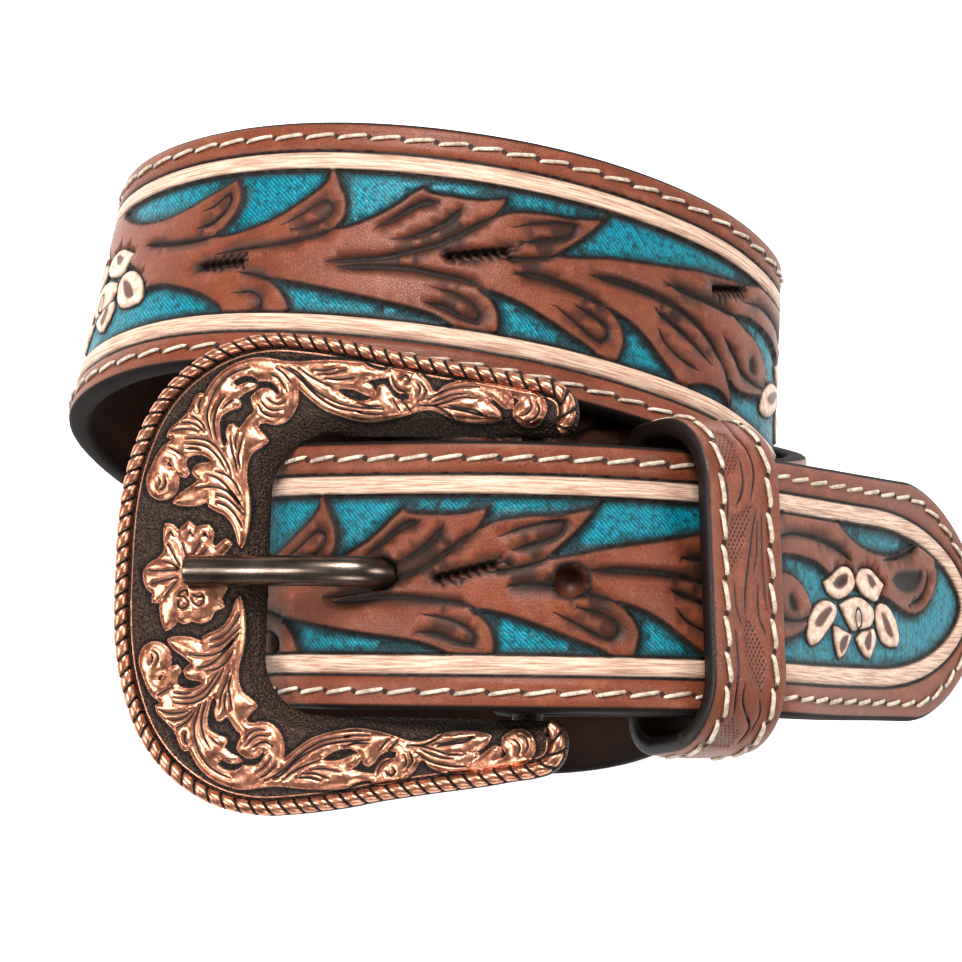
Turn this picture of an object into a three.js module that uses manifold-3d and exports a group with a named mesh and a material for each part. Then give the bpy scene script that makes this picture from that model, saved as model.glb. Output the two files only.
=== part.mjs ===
// Western tooled belt, buckled and wound into three turns, lying on its rim.
// Millimetres, +Z up, +X towards the strap tip, +Y away from the buckle side.
// The origin is on the floor, below the middle of the coil.
import * as THREE from 'three';
import { mergeVertices } from 'three/addons/utils/BufferGeometryUtils.js';
import Module from 'manifold-3d';

const wasm = await Module();
wasm.setup();

// Strap
const STRAP_W = 38.1;
const STRAP_T = 3.4;
const EDGE_BEVEL = 0.8;
const FOLD_T = 2.0;
const PLY_GAP = 0.6;
const FIT = 0.3;
const LOOP_CLEAR = 0.9;
const TAIL_FREE = 36;
const TAPER_LENGTH = 75;
const TAPER_SHARE = 0.04;
const TIP_LENGTH = 25;
const TIP_BELLY = 1.7;
const TIP_BLUNT = 0.65;
const TIP_LEAST = 0.04;
const HOLE_R = 2.25;
const HOLE_PITCH = 25.4;
const HOLES_EACH_SIDE = 2;
const CROSSING_ALONG = 0.286;
const CROSSING_UP = 1.25;

// Coil
const COIL_R = 50;
const HUB_Z = 48;
const FLOOR_EASE = 2;
const EDGE_LEVEL_Z = 22;

// Buckle
const BAR_R = 2.2;
const BAR_TURN = 10;
const BAR_OUT = 1.018;
const BAR_ASIDE = -0.378;
const FRAME_L = 65.6;
const FRAME_W = 68;
const FRAME_T = 3.2;
const FRAME_TILT = 12;
const FRAME_YAW = -2;
const FACE_OVER_BAR = 8.3;
const ARM_PAST_BAR = 6.4;
const FAR_BAR_W = 21.7;
const OPENING_R = 8.5;
const WALL_SLOPE = 2.6;
const WALL_DROP = 2.4;
const RIM_R = 1.1;
const RELIEF_H = 0.9;
const LUG_L = 5;
const LUG_W = 4.4;
const SIDE_CLEAR = 1.0;

// Prong
const PRONG_R = 2.2;
const PRONG_SIDES = 7;
const EYE_WALL = 1.9;
const EYE_W = 6;
const SLOT_CLEAR = 0.8;

// Keeper
const KEEPER_TURN = 1119;
const KEEPER_W = 13;
const KEEPER_T = 2.6;
const KEEPER_BULGE = 2.3;
const KEEPER_STAND = 3.1;
const KEEPER_FIT = 1.5;
const KEEPER_FRONT_R = 8;
const KEEPER_BACK_R = 3;
const KEEPER_LEAN = 3.5;

// Smooth curve through evenly numbered values, with a continuous bend
function smoothTrack(values) {
  const last = values.length - 1;
  const bend = new Array(values.length).fill(0);
  const weight = new Array(values.length).fill(0);
  for (let i = 1; i < last; i += 1) {
    const pivot = 4 - weight[i - 1];
    weight[i] = 1 / pivot;
    const pull = 6 * (values[i + 1] - 2 * values[i] + values[i - 1]);
    bend[i] = (pull - bend[i - 1]) / pivot;
  }
  for (let i = last - 1; i > 0; i -= 1) bend[i] -= weight[i] * bend[i + 1];
  return (t) => {
    const i = Math.min(Math.max(Math.floor(t), 0), last - 1);
    const b = t - i;
    const a = 1 - b;
    const lift = ((a ** 3 - a) * bend[i] + (b ** 3 - b) * bend[i + 1]) / 6;
    return a * values[i] + b * values[i + 1] + lift;
  };
}

// Rows of the strap's route. turn is in degrees round the hub from the top,
// reach is a share of COIL_R, side a share of STRAP_W, lean is in degrees.
// under counts the plies that lie over this one, plump is a share of STRAP_T.
const PLY = STRAP_T + PLY_GAP;
const FOLD_SHARE = FOLD_T / STRAP_T;
const FOLD_UNDER = 1 + ((STRAP_T + FOLD_T) / 2 + PLY_GAP) / PLY;

const ROUTE_COLUMNS = ['turn', 'reach', 'side', 'lean', 'under'];
const ROUTE_FOLD = [
  [62, 1.064, -0.383, 6, FOLD_UNDER],
  [50, 1.068, -0.385, 6.5, FOLD_UNDER],
  [38, 1.058, -0.385, 6, FOLD_UNDER],
  [27, 1.045, -0.383, 4, FOLD_UNDER + 0.1],
  [17, 1.032, -0.380, 2, FOLD_UNDER + 0.65],
];
const ROUTE_BODY = [
  [22.5, 1.043, -0.382, -4, 1],
  [45, 1.068, -0.385, -7, 1],
  [67.5, 1.052, -0.350, -5, 1],
  [90, 1.036, -0.280, 0, 1],
  [112.5, 1.040, -0.190, 0, 1],
  [135, 1.005, -0.080, 0, 0],
  [157.5, 1.040, 0.040, 0, 0],
  [180, 1.060, 0.170, 0, 0],
  [202.5, 1.050, 0.310, 0, 0],
  [225, 1.070, 0.460, -2, 0],
];
const ROUTE_UPPER_BAND = [
  [247.5, 1.130, 0.650, -7, 0],
  [270, 1.146, 0.835, -13, 0],
  [292.5, 1.012, 0.935, -17, 0],
  [315, 0.848, 0.948, -14.5, 0],
  [337.5, 0.734, 0.917, -11, 0],
  [360, 0.679, 0.870, -9, 0],
  [382.5, 0.677, 0.810, -8, 0],
  [405, 0.721, 0.731, -7, 0],
  [427.5, 0.800, 0.628, -4.5, 0],
  [450, 0.875, 0.520, 1.5, 0],
  [472.5, 0.897, 0.530, 3, 0],
  [495, 0.976, 0.535, 1, 1],
  [517.5, 1.010, 0.550, 0, 1],
  [540, 1.055, 0.570, 0, 1],
  [562.5, 0.975, 0.565, 0, 1],
];
const ROUTE_MIDDLE_BAND = [
  [585, 0.888, 0.550, 0, 1],
  [607.5, 0.815, 0.515, 0, 1],
  [630, 0.795, 0.450, -2, 1],
  [652.5, 0.800, 0.390, -4, 1],
  [675, 0.770, 0.320, -6, 1],
  [697.5, 0.715, 0.260, -7, 1],
  [720, 0.672, 0.220, -8, 1],
  [742.5, 0.668, 0.190, -7, 1],
  [765, 0.708, 0.150, -5, 1],
  [787.5, 0.788, 0.090, -3, 1],
  [810, 0.862, 0.000, 0, 1],
  [832.5, 0.868, -0.170, 0, 1],
  [855, 0.870, -0.390, 0, 1],
  [877.5, 0.950, -0.505, 0, 1],
  [900, 1.055, -0.520, 0, 1],
  [922.5, 0.975, -0.520, 0, 1],
];
const ROUTE_TAIL = [
  [945, 0.880, -0.515, 0, 0],
  [967.5, 0.828, -0.480, 0, 0],
  [990, 0.800, -0.400, 3, 0],
  [1012.5, 0.835, -0.350, 3, 0],
  [1035, 0.880, -0.338, 2, 0],
  [1057.5, 0.937, -0.357, 0, 0],
  [1080, 0.998, -0.372, 0, 0],
  [1102.5, 1.043, -0.382, -4, 0],
  [1125, 1.068, -0.385, -7, 0],
  [1137, 1.075, -0.384, -5.5, 0],
  [1149.5, 1.102, -0.380, -2.5, 0],
  [1161, 1.177, -0.374, -0.5, 0],
];

function polar(turn, reach) {
  const a = THREE.MathUtils.degToRad(turn);
  return new THREE.Vector2(reach * Math.sin(a), HUB_Z + reach * Math.cos(a));
}

function readRow(row, plump) {
  const named = Object.fromEntries(ROUTE_COLUMNS.map((name, i) => [name, row[i]]));
  const place = polar(named.turn, named.reach * COIL_R - named.under * PLY);
  return {
    turn: named.turn,
    x: place.x,
    z: place.y,
    y: named.side * STRAP_W,
    lean: named.lean,
    thick: plump * STRAP_T,
  };
}

// The heel bar lies against the inner face of the body at BAR_TURN
const BAR_REACH = BAR_OUT * COIL_R - PLY - STRAP_T / 2 - LOOP_CLEAR - BAR_R;
const BAR_SIDE = BAR_ASIDE * STRAP_W;
const barAt = polar(BAR_TURN, BAR_REACH);

function loopRow(angle, thick) {
  const a = THREE.MathUtils.degToRad(angle);
  const out = BAR_R + LOOP_CLEAR + thick / 2;
  return {
    turn: BAR_TURN,
    x: barAt.x + out * Math.sin(a),
    z: barAt.y + out * Math.cos(a),
    y: BAR_SIDE,
    lean: 0,
    thick,
  };
}

const MID_T = (FOLD_T + STRAP_T) / 2;
const routeRows = [
  ...ROUTE_FOLD.map((row) => readRow(row, FOLD_SHARE)),
  loopRow(BAR_TURN + 180, FOLD_T),
  loopRow(BAR_TURN + 225, FOLD_T),
  loopRow(BAR_TURN + 270, MID_T),
  loopRow(BAR_TURN + 315, STRAP_T),
  loopRow(BAR_TURN, STRAP_T),
  ...ROUTE_BODY.map((row) => readRow(row, 1)),
  ...ROUTE_UPPER_BAND.map((row) => readRow(row, 1)),
  ...ROUTE_MIDDLE_BAND.map((row) => readRow(row, 1)),
  ...ROUTE_TAIL.map((row) => readRow(row, 1)),
];

function softMax(value, floor) {
  const h = Math.max(FLOOR_EASE - Math.abs(value - floor), 0);
  return Math.max(value, floor) + (h * h) / (4 * FLOOR_EASE);
}

const tracks = {};
for (const name of ['turn', 'x', 'y', 'z', 'lean', 'thick']) {
  tracks[name] = smoothTrack(routeRows.map((row) => row[name]));
}

// Between these turns the strap rests on the floor, or on the turn before
const FLOOR_FROM_TURN = 90;
const FLOOR_TO_TURN = 1000;
const SECOND_ROUND_TURN = 360;
function routePoint(t) {
  const turn = tracks.turn(t);
  const ply = turn > SECOND_ROUND_TURN ? PLY : 0;
  const floor = STRAP_T / 2 + ply;
  const low = turn > FLOOR_FROM_TURN && turn < FLOOR_TO_TURN;
  const z = low ? softMax(tracks.z(t), floor) : tracks.z(t);
  return {
    turn,
    at: new THREE.Vector3(tracks.x(t), tracks.y(t), z),
    lean: tracks.lean(t),
    thick: Math.max(tracks.thick(t), FOLD_T),
  };
}

// Dense stations along the strap, each with its own axes
const DENSE = 24;
const EDGE_FLAT_Z = 1.5 * PLY;
const AWAY = new THREE.Vector3(0, 1, 0);
const UP = new THREE.Vector3(0, 0, 1);
const stations = [];
const denseCount = (routeRows.length - 1) * DENSE;
for (let i = 0; i <= denseCount; i += 1) stations.push(routePoint(i / DENSE));
const lastStation = stations[denseCount];
const endDir = lastStation.at.clone().sub(stations[denseCount - 1].at).normalize();
const FREE_STEPS = 120;
for (let i = 1; i <= FREE_STEPS; i += 1) {
  const at = lastStation.at.clone().addScaledVector(endDir, (TAIL_FREE * i) / FREE_STEPS);
  stations.push({ turn: lastStation.turn, at, lean: lastStation.lean, thick: STRAP_T });
}
stations.forEach((station, i) => {
  const before = stations[Math.max(i - 1, 0)].at;
  const after = stations[Math.min(i + 1, stations.length - 1)].at;
  const along = after.clone().sub(before).normalize();
  const square = AWAY.clone().addScaledVector(along, -along.dot(AWAY)).normalize();
  const level = new THREE.Vector3().crossVectors(along, UP).normalize();
  if (level.y < 0) level.negate();
  const risen = THREE.MathUtils.smoothstep(station.at.z, EDGE_FLAT_Z, EDGE_LEVEL_Z);
  const across = level.lerp(square, risen).normalize();
  const out = new THREE.Vector3().crossVectors(along, across);
  const lean = THREE.MathUtils.degToRad(station.lean) * risen;
  station.along = along;
  station.across = across.clone().multiplyScalar(Math.cos(lean)).addScaledVector(out, Math.sin(lean));
  station.out = new THREE.Vector3().crossVectors(along, station.across);
  station.length = i === 0 ? 0 : stations[i - 1].length + station.at.distanceTo(before);
});
const STRAP_LENGTH = stations[stations.length - 1].length;

// The free end narrows a little, and its last TIP_LENGTH runs to a blunt point
function halfWidth(length) {
  const left = Math.max(STRAP_LENGTH - length, 0);
  const near = 1 - THREE.MathUtils.smoothstep(left, TIP_LENGTH, TAPER_LENGTH);
  const half = (STRAP_W / 2) * (1 - TAPER_SHARE * near);
  if (left >= TIP_LENGTH) return half;
  const gone = (TIP_LENGTH - left) / TIP_LENGTH;
  return half * Math.max((1 - gone ** TIP_BELLY) ** TIP_BLUNT, TIP_LEAST);
}

// Rings are kept where the strap has run RING_STEP or bent RING_BEND degrees
const RING_STEP = 4.6;
const TIP_STEP_SHARE = 0.16;
const TIP_STEP_LEAST = 0.35;
const RING_BEND = 9;
function chooseRings() {
  const chosen = [stations[0]];
  for (const station of stations) {
    const from = chosen[chosen.length - 1];
    const run = station.length - from.length;
    const bent = THREE.MathUtils.radToDeg(station.along.angleTo(from.along));
    const left = STRAP_LENGTH - station.length;
    const tipStep = Math.max(left * TIP_STEP_SHARE, TIP_STEP_LEAST);
    const step = left < TIP_LENGTH ? tipStep : RING_STEP;
    if (run >= step || bent >= RING_BEND) chosen.push(station);
  }
  const end = stations[stations.length - 1];
  if (chosen[chosen.length - 1] !== end) chosen.push(end);
  return chosen;
}

function place(station, across, out) {
  return station.at
    .clone()
    .addScaledVector(station.across, across)
    .addScaledVector(station.out, out);
}

function ringPoints(station) {
  const w = halfWidth(station.length);
  const t = station.thick / 2;
  const c = Math.min(EDGE_BEVEL, w / 2, t / 2);
  const corners = [
    [w - c, t],
    [c - w, t],
    [-w, t - c],
    [-w, c - t],
    [c - w, -t],
    [w - c, -t],
    [w, c - t],
    [w, t - c],
  ];
  return corners.map(([across, out]) => place(station, across, out));
}

// Closed body through a list of rings with equal point counts
function loft(rings) {
  const count = rings[0].length;
  const positions = rings.flat().flatMap((p) => [p.x, p.y, p.z]);
  const index = [];
  for (let r = 0; r + 1 < rings.length; r += 1) {
    for (let k = 0; k < count; k += 1) {
      const a = r * count + k;
      const b = r * count + ((k + 1) % count);
      index.push(a, b, a + count, b, b + count, a + count);
    }
  }
  const end = (rings.length - 1) * count;
  for (let k = 1; k + 1 < count; k += 1) {
    index.push(0, k + 1, k);
    index.push(end, end + k, end + k + 1);
  }
  const geometry = new THREE.BufferGeometry();
  geometry.setAttribute('position', new THREE.Float32BufferAttribute(positions, 3));
  geometry.setIndex(index);
  return geometry;
}

function toSolid(geometry) {
  const bare = geometry.clone();
  bare.deleteAttribute('normal');
  bare.deleteAttribute('uv');
  const merged = mergeVertices(bare, 1e-4);
  return new wasm.Manifold(new wasm.Mesh({
    numProp: 3,
    vertProperties: new Float32Array(merged.attributes.position.array),
    triVerts: new Uint32Array(merged.index.array),
  }));
}

function toGeometry(solid) {
  const mesh = solid.getMesh();
  const geometry = new THREE.BufferGeometry();
  geometry.setAttribute('position', new THREE.BufferAttribute(mesh.vertProperties, 3));
  geometry.setIndex(new THREE.BufferAttribute(mesh.triVerts, 1));
  geometry.computeVertexNormals();
  return geometry;
}

// Matrix with its X along the strap, Y across it and Z out of its face
function stationMatrix(station) {
  const matrix = new THREE.Matrix4();
  matrix.makeBasis(station.along, station.across, station.out);
  matrix.setPosition(station.at);
  return matrix;
}

function stationAtLength(length) {
  return stations.find((station) => station.length >= length);
}

function stationAtTurn(turn) {
  return stations.find((station) => station.turn >= turn);
}

// Buckle axes: X runs from the heel bar towards the far end of the frame,
// Y across the strap, Z out of the frame's face. The origin is the bar's middle.
const barMiddle = new THREE.Vector3(barAt.x, BAR_SIDE, barAt.y);
const buckle = new THREE.Group();
buckle.position.copy(barMiddle);
buckle.rotation.set(
  0,
  THREE.MathUtils.degToRad(FRAME_TILT),
  THREE.MathUtils.degToRad(FRAME_YAW + 180),
  'ZYX',
);
buckle.updateMatrix();

function inWorld(solid) {
  return solid.transform(buckle.matrix.elements);
}

// Prong route in the buckle's axes, from the eye to the resting end: shares of
// FRAME_L along and of FACE_OVER_BAR up. It dives through the tail's hole.
const PRONG_ROUTE = [
  [0.052, 0.08],
  [0.085, 0.28],
  [0.125, 0.48],
  [0.185, 0.78],
  [0.245, 1.12],
  [0.344, 1.49],
  [0.473, 1.51],
  [0.553, 1.38],
  [0.640, 1.25],
  [0.735, 1.18],
];

function prongRod(radius, sides) {
  const outline = new THREE.Shape();
  outline.absarc(0, 0, radius, 0, Math.PI * 2, false);
  const points = PRONG_ROUTE.map(
    ([along, up]) => new THREE.Vector3(along * FRAME_L, 0, up * FACE_OVER_BAR),
  );
  return toSolid(new THREE.ExtrudeGeometry(outline, {
    steps: 24,
    curveSegments: sides,
    bevelEnabled: false,
    extrudePath: new THREE.CatmullRomCurve3(points),
  }));
}

// Cylinder along the buckle's Y axis
function crossCylinder(radius, length, sides) {
  return toSolid(new THREE.CylinderGeometry(radius, radius, length, sides));
}

function makeProng() {
  const eye = crossCylinder(BAR_R + FIT + EYE_WALL, EYE_W, 28);
  const bore = crossCylinder(BAR_R + FIT, EYE_W * 2, 28);
  return prongRod(PRONG_R, PRONG_SIDES).add(eye).subtract(bore);
}

// Frame outline, from the arm end to the far end: shares of FRAME_L along and
// of FRAME_W to each side
const FRAME_NEAR = -ARM_PAST_BAR;
const FRAME_FAR = FRAME_NEAR + FRAME_L;
const FRAME_BASE = FACE_OVER_BAR - FRAME_T;
const OPENING_HALF = STRAP_W / 2 + SIDE_CLEAR;
const OUTLINE = [
  [0.000, 0.345],
  [0.012, 0.366],
  [0.030, 0.382],
  [0.084, 0.401],
  [0.205, 0.431],
  [0.371, 0.462],
  [0.481, 0.481],
  [0.600, 0.498],
  [0.680, 0.498],
  [0.746, 0.488],
  [0.805, 0.463],
  [0.868, 0.412],
  [0.910, 0.366],
  [0.945, 0.310],
  [0.975, 0.225],
  [0.990, 0.150],
  [0.998, 0.070],
];

function outlinePoints(inset) {
  const half = OUTLINE.map(([along, side]) => [
    FRAME_NEAR + along * FRAME_L - inset * along,
    side * FRAME_W - inset,
  ]);
  const upper = half.map(([x, y]) => new THREE.Vector2(x, y));
  const lower = half.map(([x, y]) => new THREE.Vector2(x, -y)).reverse();
  return [...upper, ...lower];
}

function frameOutline() {
  const points = outlinePoints(0);
  const shape = new THREE.Shape();
  shape.moveTo(points[0].x, points[0].y);
  shape.splineThru(points.slice(1));
  shape.closePath();
  return shape;
}

function openingOutline() {
  const shape = new THREE.Shape();
  const far = FRAME_FAR - FAR_BAR_W;
  const near = FRAME_NEAR - WALL_SLOPE * 2;
  const cornerX = far - OPENING_R;
  const cornerY = OPENING_HALF - OPENING_R;
  shape.moveTo(near, -OPENING_HALF);
  shape.lineTo(cornerX, -OPENING_HALF);
  shape.absarc(cornerX, -cornerY, OPENING_R, -Math.PI / 2, 0, false);
  shape.absarc(cornerX, cornerY, OPENING_R, 0, Math.PI / 2, false);
  shape.lineTo(near, OPENING_HALF);
  shape.closePath();
  return shape;
}

const THROUGH = 1;
function slab(shape, base, depth, segments) {
  const geometry = new THREE.ExtrudeGeometry(shape, {
    depth,
    curveSegments: segments,
    bevelEnabled: false,
  });
  geometry.translate(0, 0, base);
  return toSolid(geometry);
}

// The opening widens towards the face, so that its wall slopes
function slopedOpening() {
  const through = slab(openingOutline(), FRAME_BASE - THROUGH, FRAME_T + 2 * THROUGH, 10);
  const flared = new THREE.ExtrudeGeometry(openingOutline(), {
    depth: RELIEF_H * 3,
    curveSegments: 10,
    bevelThickness: WALL_DROP,
    bevelSize: WALL_SLOPE,
    bevelSegments: 1,
  });
  flared.translate(0, 0, FACE_OVER_BAR);
  return toSolid(flared).add(through);
}

// Bead that the rope-twist rim is cut in, along the outer edge
function rimBead() {
  const section = new THREE.Shape();
  section.absarc(0, 0, RIM_R, 0, Math.PI * 2, false);
  const points = outlinePoints(RIM_R).map(
    (p) => new THREE.Vector3(p.x, p.y, FACE_OVER_BAR),
  );
  return toSolid(new THREE.ExtrudeGeometry(section, {
    steps: 96,
    curveSegments: 4,
    bevelEnabled: false,
    extrudePath: new THREE.CatmullRomCurve3(points),
  }));
}

// Raised leaves of the cast scroll: shares of FRAME_L along and of FRAME_W to
// the side, heading in degrees, length as a share of FRAME_W, bend in degrees
const SCROLL_LEAVES = [
  [0.060, 0.345, 12, 0.085, -60],
  [0.110, 0.372, 30, 0.095, -50],
  [0.180, 0.372, -8, 0.100, 55],
  [0.245, 0.402, 28, 0.110, -50],
  [0.320, 0.390, -6, 0.105, 60],
  [0.390, 0.425, 34, 0.120, -55],
  [0.470, 0.392, -4, 0.130, 70],
  [0.560, 0.440, 24, 0.120, -60],
  [0.640, 0.372, -38, 0.125, 70],
  [0.715, 0.428, 4, 0.110, -70],
  [0.745, 0.325, -62, 0.120, 65],
  [0.820, 0.365, -34, 0.120, -75],
  [0.800, 0.245, -84, 0.110, 70],
  [0.890, 0.265, -62, 0.110, -70],
  [0.860, 0.170, -100, 0.090, 60],
];
const LEAF_FULLNESS = 0.34;
const LEAF_BELLY = 0.7;
const LEAF_BLUNT = 0.8;
const LEAF_END_W = 0.3;
const LEAF_STEPS = 7;

function leafShape(x, y, heading, length, bend) {
  const left = [];
  const right = [];
  let angle = THREE.MathUtils.degToRad(heading);
  let px = x;
  let py = y;
  for (let i = 0; i <= LEAF_STEPS; i += 1) {
    const share = i / LEAF_STEPS;
    const full = Math.sin(Math.PI * share ** LEAF_BELLY) ** LEAF_BLUNT;
    const half = (LEAF_FULLNESS * length * full + LEAF_END_W) / 2;
    left.push(new THREE.Vector2(px - Math.sin(angle) * half, py + Math.cos(angle) * half));
    right.push(new THREE.Vector2(px + Math.sin(angle) * half, py - Math.cos(angle) * half));
    px += (Math.cos(angle) * length) / LEAF_STEPS;
    py += (Math.sin(angle) * length) / LEAF_STEPS;
    angle += THREE.MathUtils.degToRad(bend) / LEAF_STEPS;
  }
  return new THREE.Shape([...right, ...left.reverse()]);
}

const RELIEF_SINK = 0.4;
function reliefPad(shape) {
  return slab(shape, FACE_OVER_BAR - RELIEF_SINK, RELIEF_H + RELIEF_SINK, 6);
}

// Cast flower below the prong's resting end
const FLOWER_R = 5.6;
const FLOWER_ALONG = 0.838;
const FLOWER_PETALS = 9;
const PETAL_DEPTH = 0.16;
const PETAL_POINTS = 6;
function castFlower() {
  const points = [];
  const count = FLOWER_PETALS * PETAL_POINTS;
  for (let i = 0; i < count; i += 1) {
    const a = (i / count) * Math.PI * 2;
    const r = FLOWER_R * (1 + PETAL_DEPTH * Math.cos(FLOWER_PETALS * a));
    points.push(new THREE.Vector2(
      FRAME_NEAR + FLOWER_ALONG * FRAME_L + r * Math.cos(a),
      r * Math.sin(a),
    ));
  }
  return reliefPad(new THREE.Shape(points));
}

function heelBar() {
  const lugMiddle = OPENING_HALF + LUG_W / 2;
  let solid = crossCylinder(BAR_R, 2 * lugMiddle, 20);
  for (const sign of [-1, 1]) {
    const low = -BAR_R - FIT;
    const high = FRAME_BASE + RELIEF_SINK;
    const lug = new THREE.BoxGeometry(LUG_L, LUG_W, high - low);
    lug.translate(0, sign * lugMiddle, (high + low) / 2);
    solid = solid.add(toSolid(lug));
  }
  return solid;
}

function makeFrame() {
  let face = slab(frameOutline(), FRAME_BASE, FRAME_T, 3).add(rimBead()).add(castFlower());
  for (const [along, side, heading, length, bend] of SCROLL_LEAVES) {
    const x = FRAME_NEAR + along * FRAME_L;
    for (const sign of [-1, 1]) {
      const leaf = leafShape(x, sign * side * FRAME_W, sign * heading, length * FRAME_W, sign * bend);
      face = face.add(reliefPad(leaf));
    }
  }
  const notch = prongRod(PRONG_R + FIT, PRONG_SIDES);
  return face.subtract(slopedOpening()).subtract(notch).add(heelBar());
}

// Round holes along the tail, one of them where the prong comes through
const LAST_ROUND_TURN = 1035;
function prongStation() {
  const crossing = new THREE.Vector3(CROSSING_ALONG * FRAME_L, 0, CROSSING_UP * FACE_OVER_BAR);
  crossing.applyMatrix4(buckle.matrix);
  const tail = stations.filter((station) => station.turn > LAST_ROUND_TURN);
  return tail.reduce((best, station) => (
    station.at.distanceTo(crossing) < best.at.distanceTo(crossing) ? station : best
  ));
}

function holeCutters() {
  const middle = prongStation().length;
  const cutters = [];
  for (let i = -HOLES_EACH_SIDE; i <= HOLES_EACH_SIDE; i += 1) {
    const station = stationAtLength(middle + i * HOLE_PITCH);
    const punch = new THREE.CylinderGeometry(HOLE_R, HOLE_R, STRAP_T + PLY_GAP, 20);
    punch.rotateX(Math.PI / 2);
    punch.translate(0, 0, PLY_GAP / 4);
    punch.applyMatrix4(stationMatrix(station));
    cutters.push(toSolid(punch));
  }
  return cutters;
}

function makeStrap() {
  let solid = toSolid(loft(chooseRings().map(ringPoints)));
  const slotR = BAR_R + LOOP_CLEAR + STRAP_T + PLY_GAP / 2;
  const slot = crossCylinder(slotR, EYE_W + 2 * SLOT_CLEAR, 32);
  const channel = prongRod(PRONG_R + FIT, PRONG_SIDES);
  solid = solid.subtract(inWorld(slot)).subtract(inWorld(channel));
  for (const punch of holeCutters()) solid = solid.subtract(punch);
  return solid;
}

// Keeper loop round the tail, the body and the folded end. Its front corners
// are wide, its back corners tight.
function loopOutline(half, low, high, frontR, backR) {
  const shape = new THREE.Shape();
  shape.absarc(half - frontR, high - frontR, frontR, 0, Math.PI / 2, false);
  shape.absarc(frontR - half, high - frontR, frontR, Math.PI / 2, Math.PI, false);
  shape.absarc(backR - half, low + backR, backR, Math.PI, Math.PI * 1.5, false);
  shape.absarc(half - backR, low + backR, backR, Math.PI * 1.5, Math.PI * 2, false);
  shape.closePath();
  return shape;
}

const KEEPER_SAG = KEEPER_W ** 2 / (3 * COIL_R);
function makeKeeper() {
  const inner = STRAP_W / 2 + KEEPER_BULGE;
  const high = STRAP_T / 2 + KEEPER_STAND;
  const low = -(STRAP_T / 2 + PLY + PLY_GAP + FOLD_T + KEEPER_FIT + KEEPER_SAG);
  const shape = loopOutline(
    inner + KEEPER_T,
    low - KEEPER_T,
    high + KEEPER_T,
    KEEPER_FRONT_R + KEEPER_T,
    KEEPER_BACK_R + KEEPER_T,
  );
  shape.holes.push(loopOutline(inner, low, high, KEEPER_FRONT_R, KEEPER_BACK_R));
  const geometry = new THREE.ExtrudeGeometry(shape, {
    depth: KEEPER_W,
    curveSegments: 8,
    bevelEnabled: false,
  });
  geometry.translate(0, 0, -KEEPER_W / 2);
  return geometry.rotateZ(THREE.MathUtils.degToRad(KEEPER_LEAN));
}

const group = new THREE.Group();

function addPiece(parent, name, geometry, colour, roughness, metalness) {
  const material = new THREE.MeshStandardMaterial({ color: colour, roughness, metalness });
  const mesh = new THREE.Mesh(geometry, material);
  mesh.name = name;
  parent.add(mesh);
  return mesh;
}

addPiece(group, 'strap', toGeometry(makeStrap()), 0x8a4a2c, 0.5, 0);
group.add(buckle);
addPiece(buckle, 'buckle_frame', toGeometry(makeFrame()), 0xa8654a, 0.35, 1);
addPiece(buckle, 'prong', toGeometry(makeProng()), 0x6b5a4a, 0.3, 1);
const keeper = addPiece(group, 'keeper', makeKeeper(), 0x7c4228, 0.5, 0);
const keeperStation = stationAtTurn(KEEPER_TURN);
keeper.applyMatrix4(new THREE.Matrix4()
  .makeBasis(keeperStation.across, keeperStation.out, keeperStation.along)
  .setPosition(keeperStation.at));

export default group;
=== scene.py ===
import math

import bpy
import bmesh
import numpy as np
from mathutils import Matrix, Vector
from mathutils.geometry import delaunay_2d_cdt


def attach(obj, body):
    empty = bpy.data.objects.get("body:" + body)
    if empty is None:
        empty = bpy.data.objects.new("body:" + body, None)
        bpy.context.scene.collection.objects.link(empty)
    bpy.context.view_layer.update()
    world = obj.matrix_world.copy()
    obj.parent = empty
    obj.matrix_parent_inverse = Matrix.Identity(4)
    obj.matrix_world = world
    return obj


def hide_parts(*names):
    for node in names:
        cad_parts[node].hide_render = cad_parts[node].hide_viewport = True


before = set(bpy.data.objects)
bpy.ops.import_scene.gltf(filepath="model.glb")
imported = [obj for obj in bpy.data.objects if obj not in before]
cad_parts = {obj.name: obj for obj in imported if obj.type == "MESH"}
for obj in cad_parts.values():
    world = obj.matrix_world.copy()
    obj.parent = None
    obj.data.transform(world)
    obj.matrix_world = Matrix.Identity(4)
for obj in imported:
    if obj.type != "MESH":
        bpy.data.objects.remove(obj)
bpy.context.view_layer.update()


# ---------------------------------------------------------------------------
# Photographer's table: a pale, flat, faintly glowing floor, four soft lamps
# and a camera almost straight above, as the photograph was taken.
# ---------------------------------------------------------------------------
scene = bpy.context.scene
MM = 0.001


def put(tree, kind, inputs=None, **settings):
    """A node with its settings, its input values and the sockets linked to it."""
    made = tree.nodes.new(kind)
    for key, value in settings.items():
        setattr(made, key, value)
    for key, value in (inputs or {}).items():
        socket = made.inputs[key]
        if isinstance(value, bpy.types.NodeSocket):
            tree.links.new(value, socket)
        else:
            socket.default_value = value
    return made


def plain_material(name, colour, roughness):
    material = bpy.data.materials.new(name)
    material.use_nodes = True
    surface = material.node_tree.nodes["Principled BSDF"]
    surface.inputs["Base Color"].default_value = (*colour, 1)
    surface.inputs["Roughness"].default_value = roughness
    return material


def link_mesh(name, points_mm, faces, smooth=True):
    """A mesh object at the origin from points in millimetres."""
    mesh = bpy.data.meshes.new(name)
    mesh.from_pydata([tuple(p) for p in np.asarray(points_mm, float) * MM], [], faces)
    mesh.validate()
    mesh.polygons.foreach_set("use_smooth", [smooth] * len(mesh.polygons))
    made = bpy.data.objects.new(name, mesh)
    scene.collection.objects.link(made)
    return made


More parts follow.
